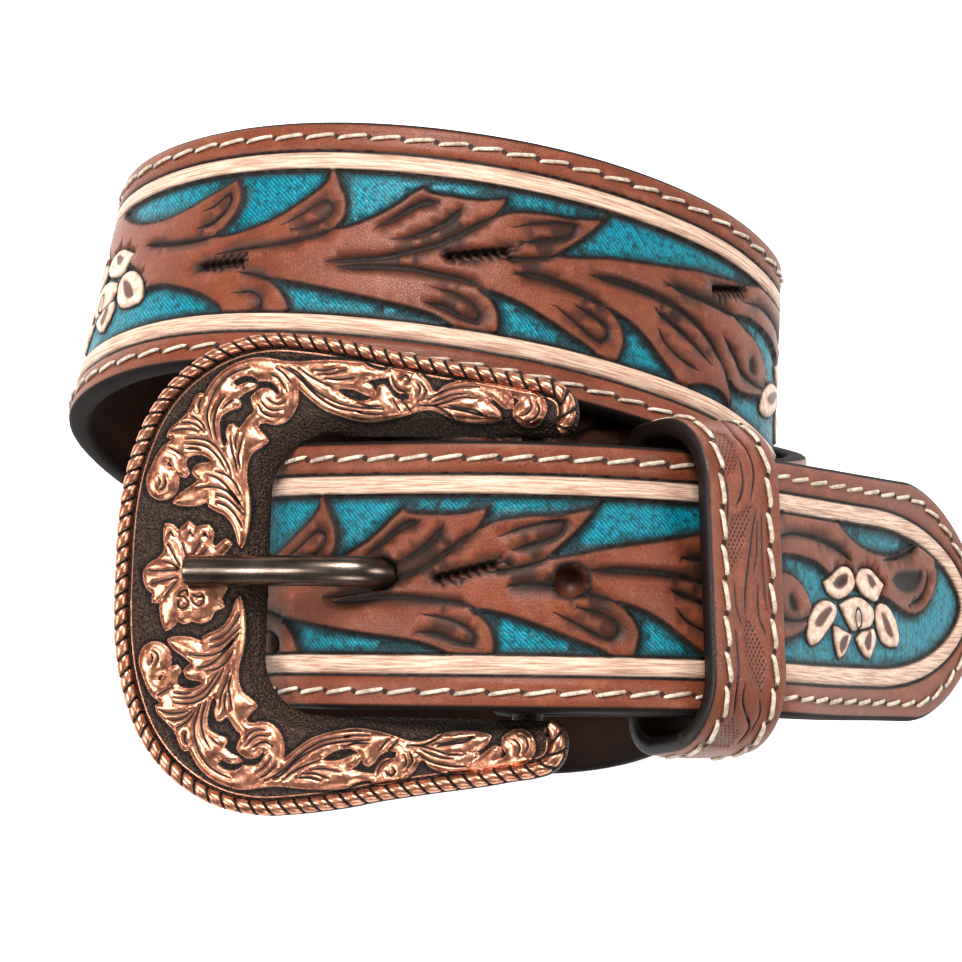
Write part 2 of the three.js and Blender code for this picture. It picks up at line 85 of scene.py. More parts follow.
FLOOR_HALF = 900.0
FLOOR_GLOW = 0.42
floor = link_mesh(
    "floor",
    [(-FLOOR_HALF, -FLOOR_HALF, 0), (FLOOR_HALF, -FLOOR_HALF, 0),
     (FLOOR_HALF, FLOOR_HALF, 0), (-FLOOR_HALF, FLOOR_HALF, 0)],
    [(0, 1, 2, 3)],
)
pale_paper = plain_material("pale_paper", (0.93, 0.93, 0.93), 0.9)
lit_paper = pale_paper.node_tree.nodes["Principled BSDF"]
lit_paper.inputs["Emission Color"].default_value = (1, 1, 1, 1)
lit_paper.inputs["Emission Strength"].default_value = FLOOR_GLOW
floor.data.materials.append(pale_paper)

TARGET = Vector((0, 0, 0.090))
CAMERA_ELEVATION = math.radians(84)
CAMERA_DISTANCE = 0.600
LENS_MM = 157.2
EXPOSURE = 0.18
SOFT_CONTRAST = 0.84
AIR_LIGHT = 0.24
camera_data = bpy.data.cameras.new("camera")
camera_data.lens = LENS_MM
camera_data.sensor_width = 36.0
camera_data.clip_start = 0.05
camera_data.clip_end = 20.0
camera = bpy.data.objects.new("camera", camera_data)
scene.collection.objects.link(camera)
view_back = Vector((0, -math.cos(CAMERA_ELEVATION), math.sin(CAMERA_ELEVATION)))
camera.location = TARGET + view_back * CAMERA_DISTANCE
camera.rotation_mode = "QUATERNION"
camera.rotation_quaternion = (-view_back).to_track_quat("-Z", "Y")
scene.camera = camera
scene.view_settings.view_transform = "Standard"
scene.view_settings.look = "None"
scene.view_settings.exposure = EXPOSURE
scene.view_settings.gamma = SOFT_CONTRAST


def soft_lamp(name, at, size, watts, tint=(1, 1, 1)):
    data = bpy.data.lights.new(name, "AREA")
    data.shape = "RECTANGLE"
    data.size, data.size_y = size
    data.energy = watts
    data.color = tint
    lamp = bpy.data.objects.new(name, data)
    lamp.location = at
    lamp.rotation_mode = "QUATERNION"
    lamp.rotation_quaternion = (TARGET - Vector(at)).to_track_quat("-Z", "Y")
    scene.collection.objects.link(lamp)


soft_lamp("lamp_back", (-0.10, 0.80, 1.15), (0.55, 0.30), 21)
soft_lamp("lamp_left", (-0.95, -0.10, 0.80), (0.3, 0.6), 8)
soft_lamp("lamp_right", (0.95, 0.10, 0.75), (0.3, 0.6), 5)
soft_lamp("lamp_front", (0.05, -0.95, 0.70), (0.6, 0.25), 4)
world = bpy.data.worlds.new("studio_air")
scene.world = world
world.use_nodes = True
world.node_tree.nodes["Background"].inputs["Color"].default_value = (1, 1, 1, 1)
world.node_tree.nodes["Background"].inputs["Strength"].default_value = AIR_LIGHT


# ---------------------------------------------------------------------------
# Strap: one long strip of thick saddle leather, wound into three turns. Its
# face is stamped with leaves and flowers, dyed turquoise in the ground and
# whitened on two raised lines; its edges are painted dark.
# ---------------------------------------------------------------------------
STRAP_W = 38.1
STRAP_T = 3.4
FOLD_T = 2.0
PLY_GAP = 0.6
PLY = STRAP_T + PLY_GAP
LOOP_CLEAR = 0.9
TAIL_FREE = 36.0
TAPER_LENGTH = 75.0
TAPER_SHARE = 0.04
TIP_LENGTH = 25.0
TIP_BELLY = 1.7
TIP_BLUNT = 0.65
TIP_LEAST = 0.04
COIL_R = 50.0
HUB_Z = 48.0
FLOOR_EASE = 2.0
EDGE_LEVEL_Z = 22.0
BAR_R = 2.2
BAR_TURN = 10.0
BAR_REACH = 1.018 * COIL_R - PLY - STRAP_T / 2 - LOOP_CLEAR - BAR_R
BAR_SIDE = -0.378 * STRAP_W
FOLD_UNDER = 1 + ((STRAP_T + FOLD_T) / 2 + PLY_GAP) / PLY

# turn, reach / COIL_R, side / STRAP_W, lean, plies above
ROUTE_FOLD = [
    (62, 1.064, -0.383, 6, FOLD_UNDER), (50, 1.068, -0.385, 6.5, FOLD_UNDER),
    (38, 1.058, -0.385, 6, FOLD_UNDER), (27, 1.045, -0.383, 4, FOLD_UNDER + 0.1),
    (17, 1.032, -0.380, 2, FOLD_UNDER + 0.65),
]
ROUTE_WOUND = [
    (22.5, 1.043, -0.382, -4, 1), (45, 1.068, -0.385, -7, 1), (67.5, 1.052, -0.350, -5, 1),
    (90, 1.036, -0.280, 0, 1), (112.5, 1.040, -0.190, 0, 1), (135, 1.005, -0.080, 0, 0),
    (157.5, 1.040, 0.040, 0, 0), (180, 1.060, 0.170, 0, 0), (202.5, 1.050, 0.310, 0, 0),
    (225, 1.070, 0.460, -2, 0), (247.5, 1.130, 0.650, -7, 0), (270, 1.146, 0.835, -13, 0),
    (292.5, 1.012, 0.935, -17, 0), (315, 0.848, 0.948, -14.5, 0), (337.5, 0.734, 0.917, -11, 0),
    (360, 0.679, 0.870, -9, 0), (382.5, 0.677, 0.810, -8, 0), (405, 0.721, 0.731, -7, 0),
    (427.5, 0.800, 0.628, -4.5, 0), (450, 0.875, 0.520, 1.5, 0), (472.5, 0.897, 0.530, 3, 0),
    (495, 0.976, 0.535, 1, 1), (517.5, 1.010, 0.550, 0, 1), (540, 1.055, 0.570, 0, 1),
    (562.5, 0.975, 0.565, 0, 1), (585, 0.888, 0.550, 0, 1), (607.5, 0.815, 0.515, 0, 1),
    (630, 0.795, 0.450, -2, 1), (652.5, 0.800, 0.390, -4, 1), (675, 0.770, 0.320, -6, 1),
    (697.5, 0.715, 0.260, -7, 1), (720, 0.672, 0.220, -8, 1), (742.5, 0.668, 0.190, -7, 1),
    (765, 0.708, 0.150, -5, 1), (787.5, 0.788, 0.090, -3, 1), (810, 0.862, 0.000, 0, 1),
    (832.5, 0.868, -0.170, 0, 1), (855, 0.870, -0.390, 0, 1), (877.5, 0.950, -0.505, 0, 1),
    (900, 1.055, -0.520, 0, 1), (922.5, 0.975, -0.520, 0, 1), (945, 0.880, -0.515, 0, 0),
    (967.5, 0.828, -0.480, 0, 0), (990, 0.800, -0.400, 3, 0), (1012.5, 0.835, -0.350, 3, 0),
    (1035, 0.880, -0.338, 2, 0), (1057.5, 0.937, -0.357, 0, 0), (1080, 0.998, -0.372, 0, 0),
    (1102.5, 1.043, -0.382, -4, 0), (1125, 1.068, -0.385, -7, 0), (1137, 1.075, -0.384, -5.5, 0),
    (1149.5, 1.102, -0.380, -2.5, 0), (1161, 1.177, -0.374, -0.5, 0),
]


def polar(turn, reach):
    a = math.radians(turn)
    return reach * math.sin(a), HUB_Z + reach * math.cos(a)


def route_row(turn, reach, side, lean, under, thick):
    x, z = polar(turn, reach * COIL_R - under * PLY)
    return turn, x, side * STRAP_W, z, lean, thick


bar_x, bar_z = polar(BAR_TURN, BAR_REACH)


def loop_row(angle, thick):
    a = math.radians(BAR_TURN + angle)
    out = BAR_R + LOOP_CLEAR + thick / 2
    return BAR_TURN, bar_x + out * math.sin(a), BAR_SIDE, bar_z + out * math.cos(a), 0, thick


route = np.array(
    [route_row(*row, FOLD_T) for row in ROUTE_FOLD]
    + [loop_row(180, FOLD_T), loop_row(225, FOLD_T), loop_row(270, (FOLD_T + STRAP_T) / 2)]
    + [loop_row(315, STRAP_T), loop_row(0, STRAP_T)]
    + [route_row(*row, STRAP_T) for row in ROUTE_WOUND]
)


def smooth_track(values, t):
    """Natural cubic spline through evenly numbered rows of values."""
    last = len(values) - 1
    bend = np.zeros_like(values)
    weight = np.zeros(last + 1)
    for i in range(1, last):
        weight[i] = 1 / (4 - weight[i - 1])
        bend[i] = (6 * (values[i + 1] - 2 * values[i] + values[i - 1]) - bend[i - 1]) * weight[i]
    for i in range(last - 1, 0, -1):
        bend[i] -= weight[i] * bend[i + 1]
    i = np.clip(t.astype(int), 0, last - 1)
    b = (t - i)[:, None]
    a = 1 - b
    return a * values[i] + b * values[i + 1] + ((a**3 - a) * bend[i] + (b**3 - b) * bend[i + 1]) / 6


def smoothstep(low, high, x):
    t = np.clip((x - low) / (high - low), 0, 1)
    return t * t * (3 - 2 * t)


def unit(v):
    return v / np.linalg.norm(v, axis=-1, keepdims=True)


track = smooth_track(route, np.arange((len(route) - 1) * 24 + 1) / 24)
turn = track[:, 0]
path = track[:, 1:4].copy()
rest_z = STRAP_T / 2 + np.where(turn > 360, PLY, 0)
ease = np.maximum(FLOOR_EASE - np.abs(path[:, 2] - rest_z), 0)
lifted = np.maximum(path[:, 2], rest_z) + ease**2 / (4 * FLOOR_EASE)
path[:, 2] = np.where((turn > 90) & (turn < 1000), lifted, path[:, 2])
tail_run = unit(path[-1] - path[-2]) * np.linspace(0, TAIL_FREE, 121)[1:, None]
path = np.vstack([path, path[-1] + tail_run])
path_lean = np.radians(np.concatenate([track[:, 4], np.full(120, track[-1, 4])]))
path_thick = np.maximum(np.concatenate([track[:, 5], np.full(120, STRAP_T)]), FOLD_T)
path_turn = np.concatenate([turn, np.full(120, turn[-1])])
step_before = np.vstack([path[:1], path[:-1]])
step_after = np.vstack([path[1:], path[-1:]])
path_along = unit(step_after - step_before)
square = unit(np.array([0, 1, 0]) - path_along * path_along[:, 1:2])
level = unit(np.cross(path_along, [0, 0, 1]))
level *= np.where(level[:, 1:2] < 0, -1, 1)
risen = smoothstep(PLY * 1.5, EDGE_LEVEL_Z, path[:, 2:3])
path_across = unit(level * (1 - risen) + square * risen)
path_out = np.cross(path_along, path_across)
lean_now = path_lean[:, None] * risen
path_across = path_across * np.cos(lean_now) + path_out * np.sin(lean_now)
path_out = np.cross(path_along, path_across)
path_length = np.concatenate([[0], np.cumsum(np.linalg.norm(np.diff(path, axis=0), axis=1))])
STRAP_LENGTH = path_length[-1]


def along_path(values, length):
    return np.stack([np.interp(length, path_length, values[:, k]) for k in range(3)], -1)


def on_strap(length, across, out):
    """Points at a length along the strap, across it, and out of its middle layer."""
    length = np.asarray(length, float)
    a = along_path(path, length)
    return a + along_path(path_across, length) * np.asarray(across)[..., None] \
        + unit(along_path(path_out, length)) * np.asarray(out)[..., None]


def thickness(length):
    return np.interp(length, path_length, path_thick)


def half_width(length):
    left = np.maximum(STRAP_LENGTH - np.asarray(length, float), 0)
    half = STRAP_W / 2 * (1 - TAPER_SHARE * (1 - smoothstep(TIP_LENGTH, TAPER_LENGTH, left)))
    gone = np.clip((TIP_LENGTH - left) / TIP_LENGTH, 0, 1)
    return half * np.maximum((1 - gone**TIP_BELLY) ** TIP_BLUNT, TIP_LEAST)


# The stamped pattern is drawn 18 times its size. Its sheet starts
# SHEET_BEFORE ahead of a flower's middle, with the strap's upper edge on top.
DRAWN = 18.0
SHEET_BEFORE = 6.6
REPEAT = 134.9
FLOWERS = [28.8, 163.7, 298.6, 433.5, 559.2, 685.0, 810.7, 945.6]
CREAM_IN = 11.2
CREAM_OUT = 14.2

GROUND = [
    [(190, 140), (190, 160), (255, 197), (318, 221), (372, 231), (430, 232), (500, 218), (560, 196),
     (612, 174), (642, 158), (644, 140)],
    [(652, 140), (905, 140), (905, 168), (888, 192), (860, 217), (800, 262), (755, 287), (700, 307),
     (650, 318), (605, 319), (640, 290), (662, 257), (671, 225), (667, 190), (655, 165)],
    [(926, 140), (1640, 140), (1636, 163), (1592, 176), (1542, 187), (1482, 190), (1412, 200),
     (1377, 210), (1352, 224), (1368, 196), (1374, 170), (1352, 175), (1302, 186), (1232, 187),
     (1172, 183), (1155, 172), (1130, 192), (1092, 228), (1060, 254), (1020, 277), (975, 299),
     (948, 304), (964, 280), (968, 250), (960, 212), (945, 186)],
    [(1650, 140), (2210, 140), (2132, 170), (2052, 190), (1982, 205), (1942, 211), (1852, 232),
     (1752, 251), (1652, 270), (1582, 288), (1520, 299), (1550, 272), (1582, 240), (1610, 207),
     (1630, 178), (1642, 160)],
    [(785, 452), (860, 465), (950, 480), (1050, 495), (1150, 508), (1224, 522), (1282, 548),
     (1290, 565), (858, 565), (850, 530), (835, 500), (812, 474)],
    [(1335, 433), (1382, 437), (1452, 455), (1532, 485), (1592, 510), (1652, 535), (1680, 565),
     (1390, 565), (1398, 522), (1388, 480), (1365, 450)],
    [(1687, 408), (1752, 430), (1802, 460), (1852, 500), (1892, 530), (1925, 565), (1718, 565),
     (1733, 520), (1738, 480), (1727, 450), (1707, 425)],
    [(1935, 565), (1948, 546), (1982, 528), (2032, 518), (2072, 520), (2102, 535), (2122, 565)],
]
GROUND_ROUND_FLOWER = [
    (2097, 283), (2152, 265), (2212, 258), (2298, 260), (2358, 270), (2398, 288), (2470, 308),
    (2560, 320), (2660, 333), (2728, 350), (2768, 400), (2793, 440), (2828, 437), (2878, 440),
    (2928, 455), (2988, 475), (3038, 500), (3078, 528), (3100, 565), (2130, 565), (2114, 525),
    (2098, 490), (2080, 452), (2108, 478), (2152, 485), (2212, 468), (2270, 444), (2300, 425),
    (2310, 395), (2292, 356), (2262, 328), (2212, 306), (2149, 297)]
# The field beside the last flower, and the one above the tip's curled leaf
GROUND_TIP = [
    [(2468, 140), (2558, 146), (2638, 146), (2718, 150), (2798, 158), (2858, 172), (2923, 190),
     (2858, 203), (2798, 220), (2718, 222), (2638, 215), (2578, 200), (2518, 175)],
    [(2097, 283), (2152, 265), (2212, 258), (2298, 262), (2358, 272), (2398, 290), (2458, 310),
     (2558, 322), (2658, 335), (2733, 345), (2808, 368), (2848, 378), (2898, 382), (2948, 370),
     (2998, 340), (3028, 310), (3043, 280), (3043, 250), (3030, 232), (3300, 232), (3300, 565),
     (2130, 565), (2114, 525), (2098, 490), (2080, 452), (2108, 478), (2152, 485), (2212, 468),
     (2270, 444), (2300, 425), (2310, 395), (2292, 356), (2262, 328), (2212, 306), (2149, 297)],
]
# Cut lines: half width at the start and at the end in mm, then the points
CUTS = [
    (.30, .20, [(360, 299), (400, 307), (450, 317), (520, 323), (603, 319)]),
    (.10, .24, [(555, 240), (590, 226), (618, 203), (630, 195), (636, 215), (620, 250), (588, 276),
                (542, 288)]),
    (.14, .22, [(618, 374), (690, 364), (760, 357), (830, 345), (900, 325), (949, 304)]),
    (.10, .22, [(800, 298), (840, 275), (880, 245), (908, 228), (928, 240), (928, 260), (905, 285),
                (865, 303), (830, 312)]),
    (.12, .20, [(695, 430), (740, 438), (785, 452)]),
    (.10, .20, [(695, 490), (740, 488), (768, 508), (770, 532), (745, 546)]),
    (.22, .30, [(930, 401), (1000, 392), (1080, 377), (1152, 351), (1212, 326), (1272, 285),
                (1332, 240), (1352, 224)]),
    (.30, .22, [(965, 414), (1050, 406), (1152, 401), (1224, 407), (1302, 415), (1345, 428)]),
    (.12, .42, [(1047, 300), (1090, 271), (1130, 238), (1165, 216), (1197, 210)]),
    (.12, .42, [(1100, 326), (1150, 312), (1190, 290), (1232, 258), (1260, 222)]),
    (.12, .28, [(1217, 445), (1272, 455), (1322, 475), (1347, 500), (1340, 522), (1302, 515),
                (1252, 495), (1202, 489)]),
    (.25, .18, [(1390, 338), (1452, 325), (1492, 313), (1520, 300)]),
    (.12, .30, [(1402, 246), (1442, 229), (1502, 212), (1562, 203), (1554, 232), (1530, 250),
                (1482, 266), (1435, 281)]),
    (.38, .20, [(1427, 370), (1502, 368), (1572, 378), (1632, 393), (1687, 408)]),
    (.12, .26, [(1537, 437), (1592, 465), (1642, 493), (1672, 503), (1692, 482), (1682, 457),
                (1642, 436), (1592, 423)]),
    (.40, .20, [(1627, 328), (1712, 325), (1802, 329), (1882, 340), (1952, 360), (2002, 385),
                (2052, 425), (2082, 455)]),
    (.32, .10, [(1822, 370), (1892, 395), (1962, 425), (2017, 455)]),
    (.14, .14, [(1832, 418), (1862, 450), (1912, 475), (1972, 488)]),
    (.36, .18, [(1857, 285), (1932, 287), (2002, 285), (2097, 283)]),
    (.26, .12, [(2062, 362), (2092, 378), (2122, 400), (2152, 425), (2182, 430), (2252, 425),
                (2296, 408)]),
    (.10, .36, [(2127, 228), (2218, 200), (2308, 197), (2388, 205), (2458, 218), (2508, 235),
                (2538, 250)]),
]
HOLLOWS = [[(2185, 358), (2205, 350), (2228, 372), (2232, 400), (2210, 415), (2185, 410), (2176, 385)]]
HOLLOWS_TIP = [[(2758, 290), (2798, 264), (2858, 254), (2958, 250), (2956, 285), (2918, 318),
                (2858, 330), (2798, 318)]]
CUTS_TIP = [
    (.12, .30, [(2718, 240), (2798, 230), (2878, 212), (2923, 192)]),
    (.12, .25, [(2975, 255), (2990, 270), (2975, 300), (2940, 335), (2880, 352)]),
]
# Braids: middle of the first strand, step to the next, strands, half height, slant
BRAIDS = [(578, 403, 22, -1, 6, 15, 15), (1245, 352, 23, -6, 7, 15, 15), (2008, 238, 20, -8, 6, 13, 14)]
PETALS = [
    [(2556, 310), (2550, 290), (2530, 270), (2493, 266), (2458, 278), (2420, 298), (2378, 315),
     (2398, 345), (2448, 360), (2498, 352), (2543, 330)],
    [(2556, 305), (2573, 280), (2598, 268), (2643, 265), (2678, 280), (2726, 305), (2703, 330),
     (2678, 355), (2638, 352), (2588, 335)],
    [(2668, 380), (2688, 358), (2728, 356), (2770, 380), (2798, 415), (2806, 455), (2793, 474),
     (2743, 475), (2698, 460), (2673, 425)],
    [(2266, 470), (2278, 430), (2313, 392), (2358, 368), (2403, 363), (2443, 372), (2448, 395),
     (2420, 425), (2383, 450), (2338, 478), (2288, 492), (2268, 485)],
    [(2420, 430), (2438, 428), (2488, 440), (2530, 448), (2508, 475), (2478, 505), (2448, 520),
     (2433, 505), (2420, 470)],
    [(2546, 460), (2568, 445), (2608, 430), (2658, 425), (2670, 450), (2658, 480), (2628, 512),
     (2598, 505), (2563, 480)],
    [(2458, 372), (2503, 356), (2558, 345), (2608, 350), (2658, 372), (2663, 400), (2638, 425),
     (2578, 435), (2528, 440), (2488, 405)],
]
PETAL_HEARTS = [
    [(2420, 318), (2458, 295), (2503, 285), (2518, 292), (2503, 318), (2468, 332), (2438, 330)],
    [(2618, 278), (2648, 285), (2678, 308), (2648, 322), (2628, 305)],
    [(2693, 380), (2718, 385), (2748, 410), (2770, 445), (2748, 450), (2718, 430)],
    [(2306, 432), (2323, 415), (2363, 392), (2408, 378), (2420, 388), (2393, 408), (2348, 438),
     (2316, 440)],
    [(2440, 490), (2453, 465), (2488, 450), (2503, 455), (2483, 485), (2450, 508)],
    [(2588, 470), (2608, 445), (2633, 430), (2638, 450), (2628, 485), (2608, 492)],
]
FLOWER_EYE = (2564, 405, 17, 28)

CUT_AT = 33.4
TOOLED_FROM = 78.0
HOLE_R = 2.25
HOLE_AT = 863.9
HOLE_PITCH = 25.4
EDGE_IN = 0.9
RING_STEP = 1.5
LAST_LEAD = 2.5
HOLE_SHIFTS = [(0.0, 0.0), (0.0, 0.0), (-1.1, 0.0), (0.0, -0.75), (0.0, 0.0)]
HOLES = [(HOLE_AT + (i - 2) * HOLE_PITCH + dl, dv) for i, (dl, dv) in enumerate(HOLE_SHIFTS)]


def drawn(points):
    """Sheet points as (distance past a flower, height across the strap) in mm."""
    p = np.array(points, float) / DRAWN
    return np.stack([p[:, 0] - SHEET_BEFORE, STRAP_W / 2 - p[:, 1]], -1)


def smooth_line(points, step, closed):
    """Even points on a curve through the given ones, with sharp corners kept."""
    p = np.asarray(points, float)
    n = len(p)
    before = unit(p - np.roll(p, 1, 0))
    after = unit(np.roll(p, -1, 0) - p)
    corner = np.einsum("ij,ij->i", before, after) < 0.62
    if not closed:
        corner[[0, -1]] = True
    spans = n if closed else n - 1
    out = []
    for i in range(spans):
        a, b = p[i], p[(i + 1) % n]
        run = np.linalg.norm(b - a)
        lead_a = (b - a) if corner[i] else (b - p[i - 1]) * run / (
            run + np.linalg.norm(a - p[i - 1]) + 1e-9)
        nxt = p[(i + 2) % n]
        lead_b = (b - a) if corner[(i + 1) % n] else (nxt - a) * run / (
            run + np.linalg.norm(nxt - b) + 1e-9)
        count = max(int(round(run / step)), 1)
        t = (np.arange(count) / count)[:, None]
        out.append((2 * t**3 - 3 * t**2 + 1) * a + (t**3 - 2 * t**2 + t) * lead_a
                   + (3 * t**2 - 2 * t**3) * b + (t**3 - t**2) * lead_b)
    if not closed:
        out.append(p[-1:])
    return np.vstack(out)


def shifted(line, by, closed):
    """The line moved sideways by a distance for each point; inwards is positive."""
    ahead = np.roll(line, -1, 0) - np.roll(line, 1, 0)
    if not closed:
        ahead[0], ahead[-1] = line[1] - line[0], line[-1] - line[-2]
    side = unit(np.stack([-ahead[:, 1], ahead[:, 0]], -1) + 1e-12)
    return line + side * np.reshape(by, (-1, 1))


def counter_clockwise(p):
    area = np.sum(p[:, 0] * np.roll(p[:, 1], -1) - p[:, 1] * np.roll(p[:, 0], -1))
    return p if area > 0 else p[::-1]


def distance(points, line, closed, weight=None):
    """Distance of each point to a line; with weights, also the weight there."""
    a = line if closed else line[:-1]
    b = np.roll(line, -1, 0) if closed else line[1:]
    ab = b - a
    ap = points[:, None] - a[None]
    t = np.clip(np.einsum("ijk,jk->ij", ap, ab) / (np.einsum("jk,jk->j", ab, ab) + 1e-12), 0, 1)
    d = np.linalg.norm(ap - t[..., None] * ab[None], axis=-1)
    near = d.argmin(1)
    rows = np.arange(len(points))
    if weight is None:
        return d[rows, near]
    t_near = t[rows, near]
    return d[rows, near], weight[near] * (1 - t_near) + weight[near + 1] * t_near


def inside(points, loop):
    x, y = points[:, 0][:, None], points[:, 1][:, None]
    x0, y0 = loop[:, 0][None], loop[:, 1][None]
    x1, y1 = np.roll(x0, -1), np.roll(y0, -1)
    crosses = (y0 > y) != (y1 > y)
    meet = x0 + (y - y0) * (x1 - x0) / np.where(y1 == y0, 1e-9, y1 - y0)
    return (np.sum(crosses & (x < meet), axis=1) % 2).astype(bool)


def depth_in(points, loop):
    """Distance in from a closed line; outside it is negative."""
    return distance(points, loop, True) * np.where(inside(points, loop), 1, -1)


class Stamped:
    """Lines of one kind laid on the strap: closed grounds, petals, open cuts."""

    def __init__(self):
        self.ground, self.petals, self.hearts, self.hollows, self.cuts = [], [], [], [], []
        self.eyes = []


def lay_pattern():
    """All the pattern's shapes on the strap, each as (length, across) points."""
    laid = Stamped()
    for k, start in enumerate(FLOWERS[:-1]):
        room = FLOWERS[k + 1] - start
        stretch = room / REPEAT

        last = k == len(FLOWERS) - 2

        def at(points):
            p = drawn(points)
            x = p[:, 0] * stretch
            if last:
                x = x - LAST_LEAD * (1 - smoothstep(75, 120, x))
            return np.stack([start + x, p[:, 1]], -1)

        tip = GROUND_TIP if last else [GROUND_ROUND_FLOWER]
        for shape in GROUND + tip:
            laid.ground.append(counter_clockwise(smooth_line(at(shape), 0.6, True)))
        for shape in PETALS:
            laid.petals.append(counter_clockwise(smooth_line(at(shape), 0.5, True)))
        for shape in PETAL_HEARTS:
            laid.hearts.append(counter_clockwise(smooth_line(at(shape), 0.5, True)))
        for shape in HOLLOWS + (HOLLOWS_TIP if last else []):
            laid.hollows.append(counter_clockwise(smooth_line(at(shape), 0.5, True)))
        for w0, w1, shape in CUTS + (CUTS_TIP if last else []):
            line = smooth_line(at(shape), 0.55, False)
            share = np.linspace(0, 1, len(line))
            swell = np.minimum(np.minimum(share, 1 - share) * 6 + 0.25, 1)
            laid.cuts.append((line, (w0 + (w1 - w0) * share) * swell))
        for x, y, dx, dy, count, rise, slant in BRAIDS:
            for i in range(count):
                cx, cy = x + dx * i, y + dy * i
                for sign in (-1, 1):
                    line = smooth_line(at([(cx, cy), (cx + slant * .7, cy + sign * rise * .6),
                                           (cx + slant * 1.1, cy + sign * rise)]), 0.45, False)
                    laid.cuts.append((line, np.linspace(0.26, 0.13, len(line))))
            spine = smooth_line(at([(x - 8, y), (x + dx * count + 8, y + dy * count)]), 0.5, False)
            laid.cuts.append((spine, np.linspace(0.30, 0.10, len(spine))))
        x, y, half_x, half_y = FLOWER_EYE
        a = np.arange(20) / 20 * 2 * math.pi
        laid.eyes.append(at(np.stack([x + half_x * np.cos(a), y + half_y * np.sin(a)], -1)))
    return laid


pattern = lay_pattern()


def edge_distance(p):
    """Distance in from the outline; past the stitches the tip's lines run rounder."""
    d = half_width(p[:, 0]) - np.abs(p[:, 1])
    near_tip = p[:, 0] > STRAP_LENGTH - TAPER_LENGTH
    if near_tip.any():
        at = p[near_tip]
        true = distance(at, tip_outline, False)
        round_in = distance(at, round_outline, False)
        round_in = np.where(inside(at, round_outline), round_in, -round_in)
        d[near_tip] = np.where(true < ROUND_FROM, true, np.maximum(round_in, ROUND_FROM + 0.01))
    return d


tip_lengths = np.concatenate([
    np.linspace(STRAP_LENGTH - TAPER_LENGTH - 4, STRAP_LENGTH - TIP_LENGTH, 40)[:-1],
    STRAP_LENGTH - TIP_LENGTH * (1 - np.sin(np.linspace(0, math.pi / 2, 48)))])
tip_half = half_width(tip_lengths)
tip_outline = np.vstack([np.stack([tip_lengths, tip_half], -1),
                         np.stack([tip_lengths, -tip_half], -1)[::-1]])
ROUND_FROM = 3.4
ROUND_LENGTH = 36.0
round_lengths = np.concatenate([
    np.linspace(STRAP_LENGTH - TAPER_LENGTH - 4, STRAP_LENGTH - ROUND_LENGTH, 40)[:-1],
    STRAP_LENGTH - ROUND_LENGTH * (1 - np.sin(np.linspace(0, math.pi / 2, 48)))])
round_half = STRAP_W / 2 * (1 - TAPER_SHARE * (1 - smoothstep(
    TIP_LENGTH, TAPER_LENGTH, STRAP_LENGTH - round_lengths)))
round_half *= np.sqrt(np.maximum(1 - np.clip(
    (round_lengths - STRAP_LENGTH + ROUND_LENGTH) / ROUND_LENGTH, 0, 1) ** 2, 0.0004))
round_outline = np.vstack([np.stack([round_lengths, round_half], -1),
                           np.stack([round_lengths, -round_half], -1)[::-1]])


def border_line(inset, l0, l1):
    """The line at one distance in from the outline, on both sides, round the tip."""
    straight = np.arange(l0, min(l1, STRAP_LENGTH - TAPER_LENGTH - 4) + 0.01, RING_STEP)
    lines = []
    if l1 < STRAP_LENGTH - TAPER_LENGTH:
        for sign in (1, -1):
            v = sign * (STRAP_W / 2 - inset)
            lines.append(np.stack([np.append(straight, l1), np.full(len(straight) + 1, v)], -1))
        return lines
    outline = tip_outline if inset < ROUND_FROM else round_outline
    dense = smooth_line(outline, 0.5, False)
    moved = shifted(dense, -inset, False)
    moved = moved[distance(moved, outline, False) > inset - 0.03]
    upper = np.stack([straight, np.full(len(straight), STRAP_W / 2 - inset)], -1)
    return [np.vstack([upper[:-1], moved[moved[:, 0] > straight[-1]], (upper * [1, -1])[:-1][::-1]])]


def ring_lengths(l0, l1):
    """Where the strap's rings stand between two lengths."""
    if l1 < STRAP_LENGTH - 1:
        return np.linspace(l0, l1, max(int(round((l1 - l0) / RING_STEP)), 1) + 1)
    body = np.linspace(l0, STRAP_LENGTH - TIP_LENGTH, int((STRAP_LENGTH - TIP_LENGTH - l0) / RING_STEP))
    round_tip = STRAP_LENGTH - TIP_LENGTH * (1 - np.sin(np.linspace(0, math.pi / 2, 34)[1:-1]))
    return np.concatenate([body, round_tip, [STRAP_LENGTH - 0.25]])


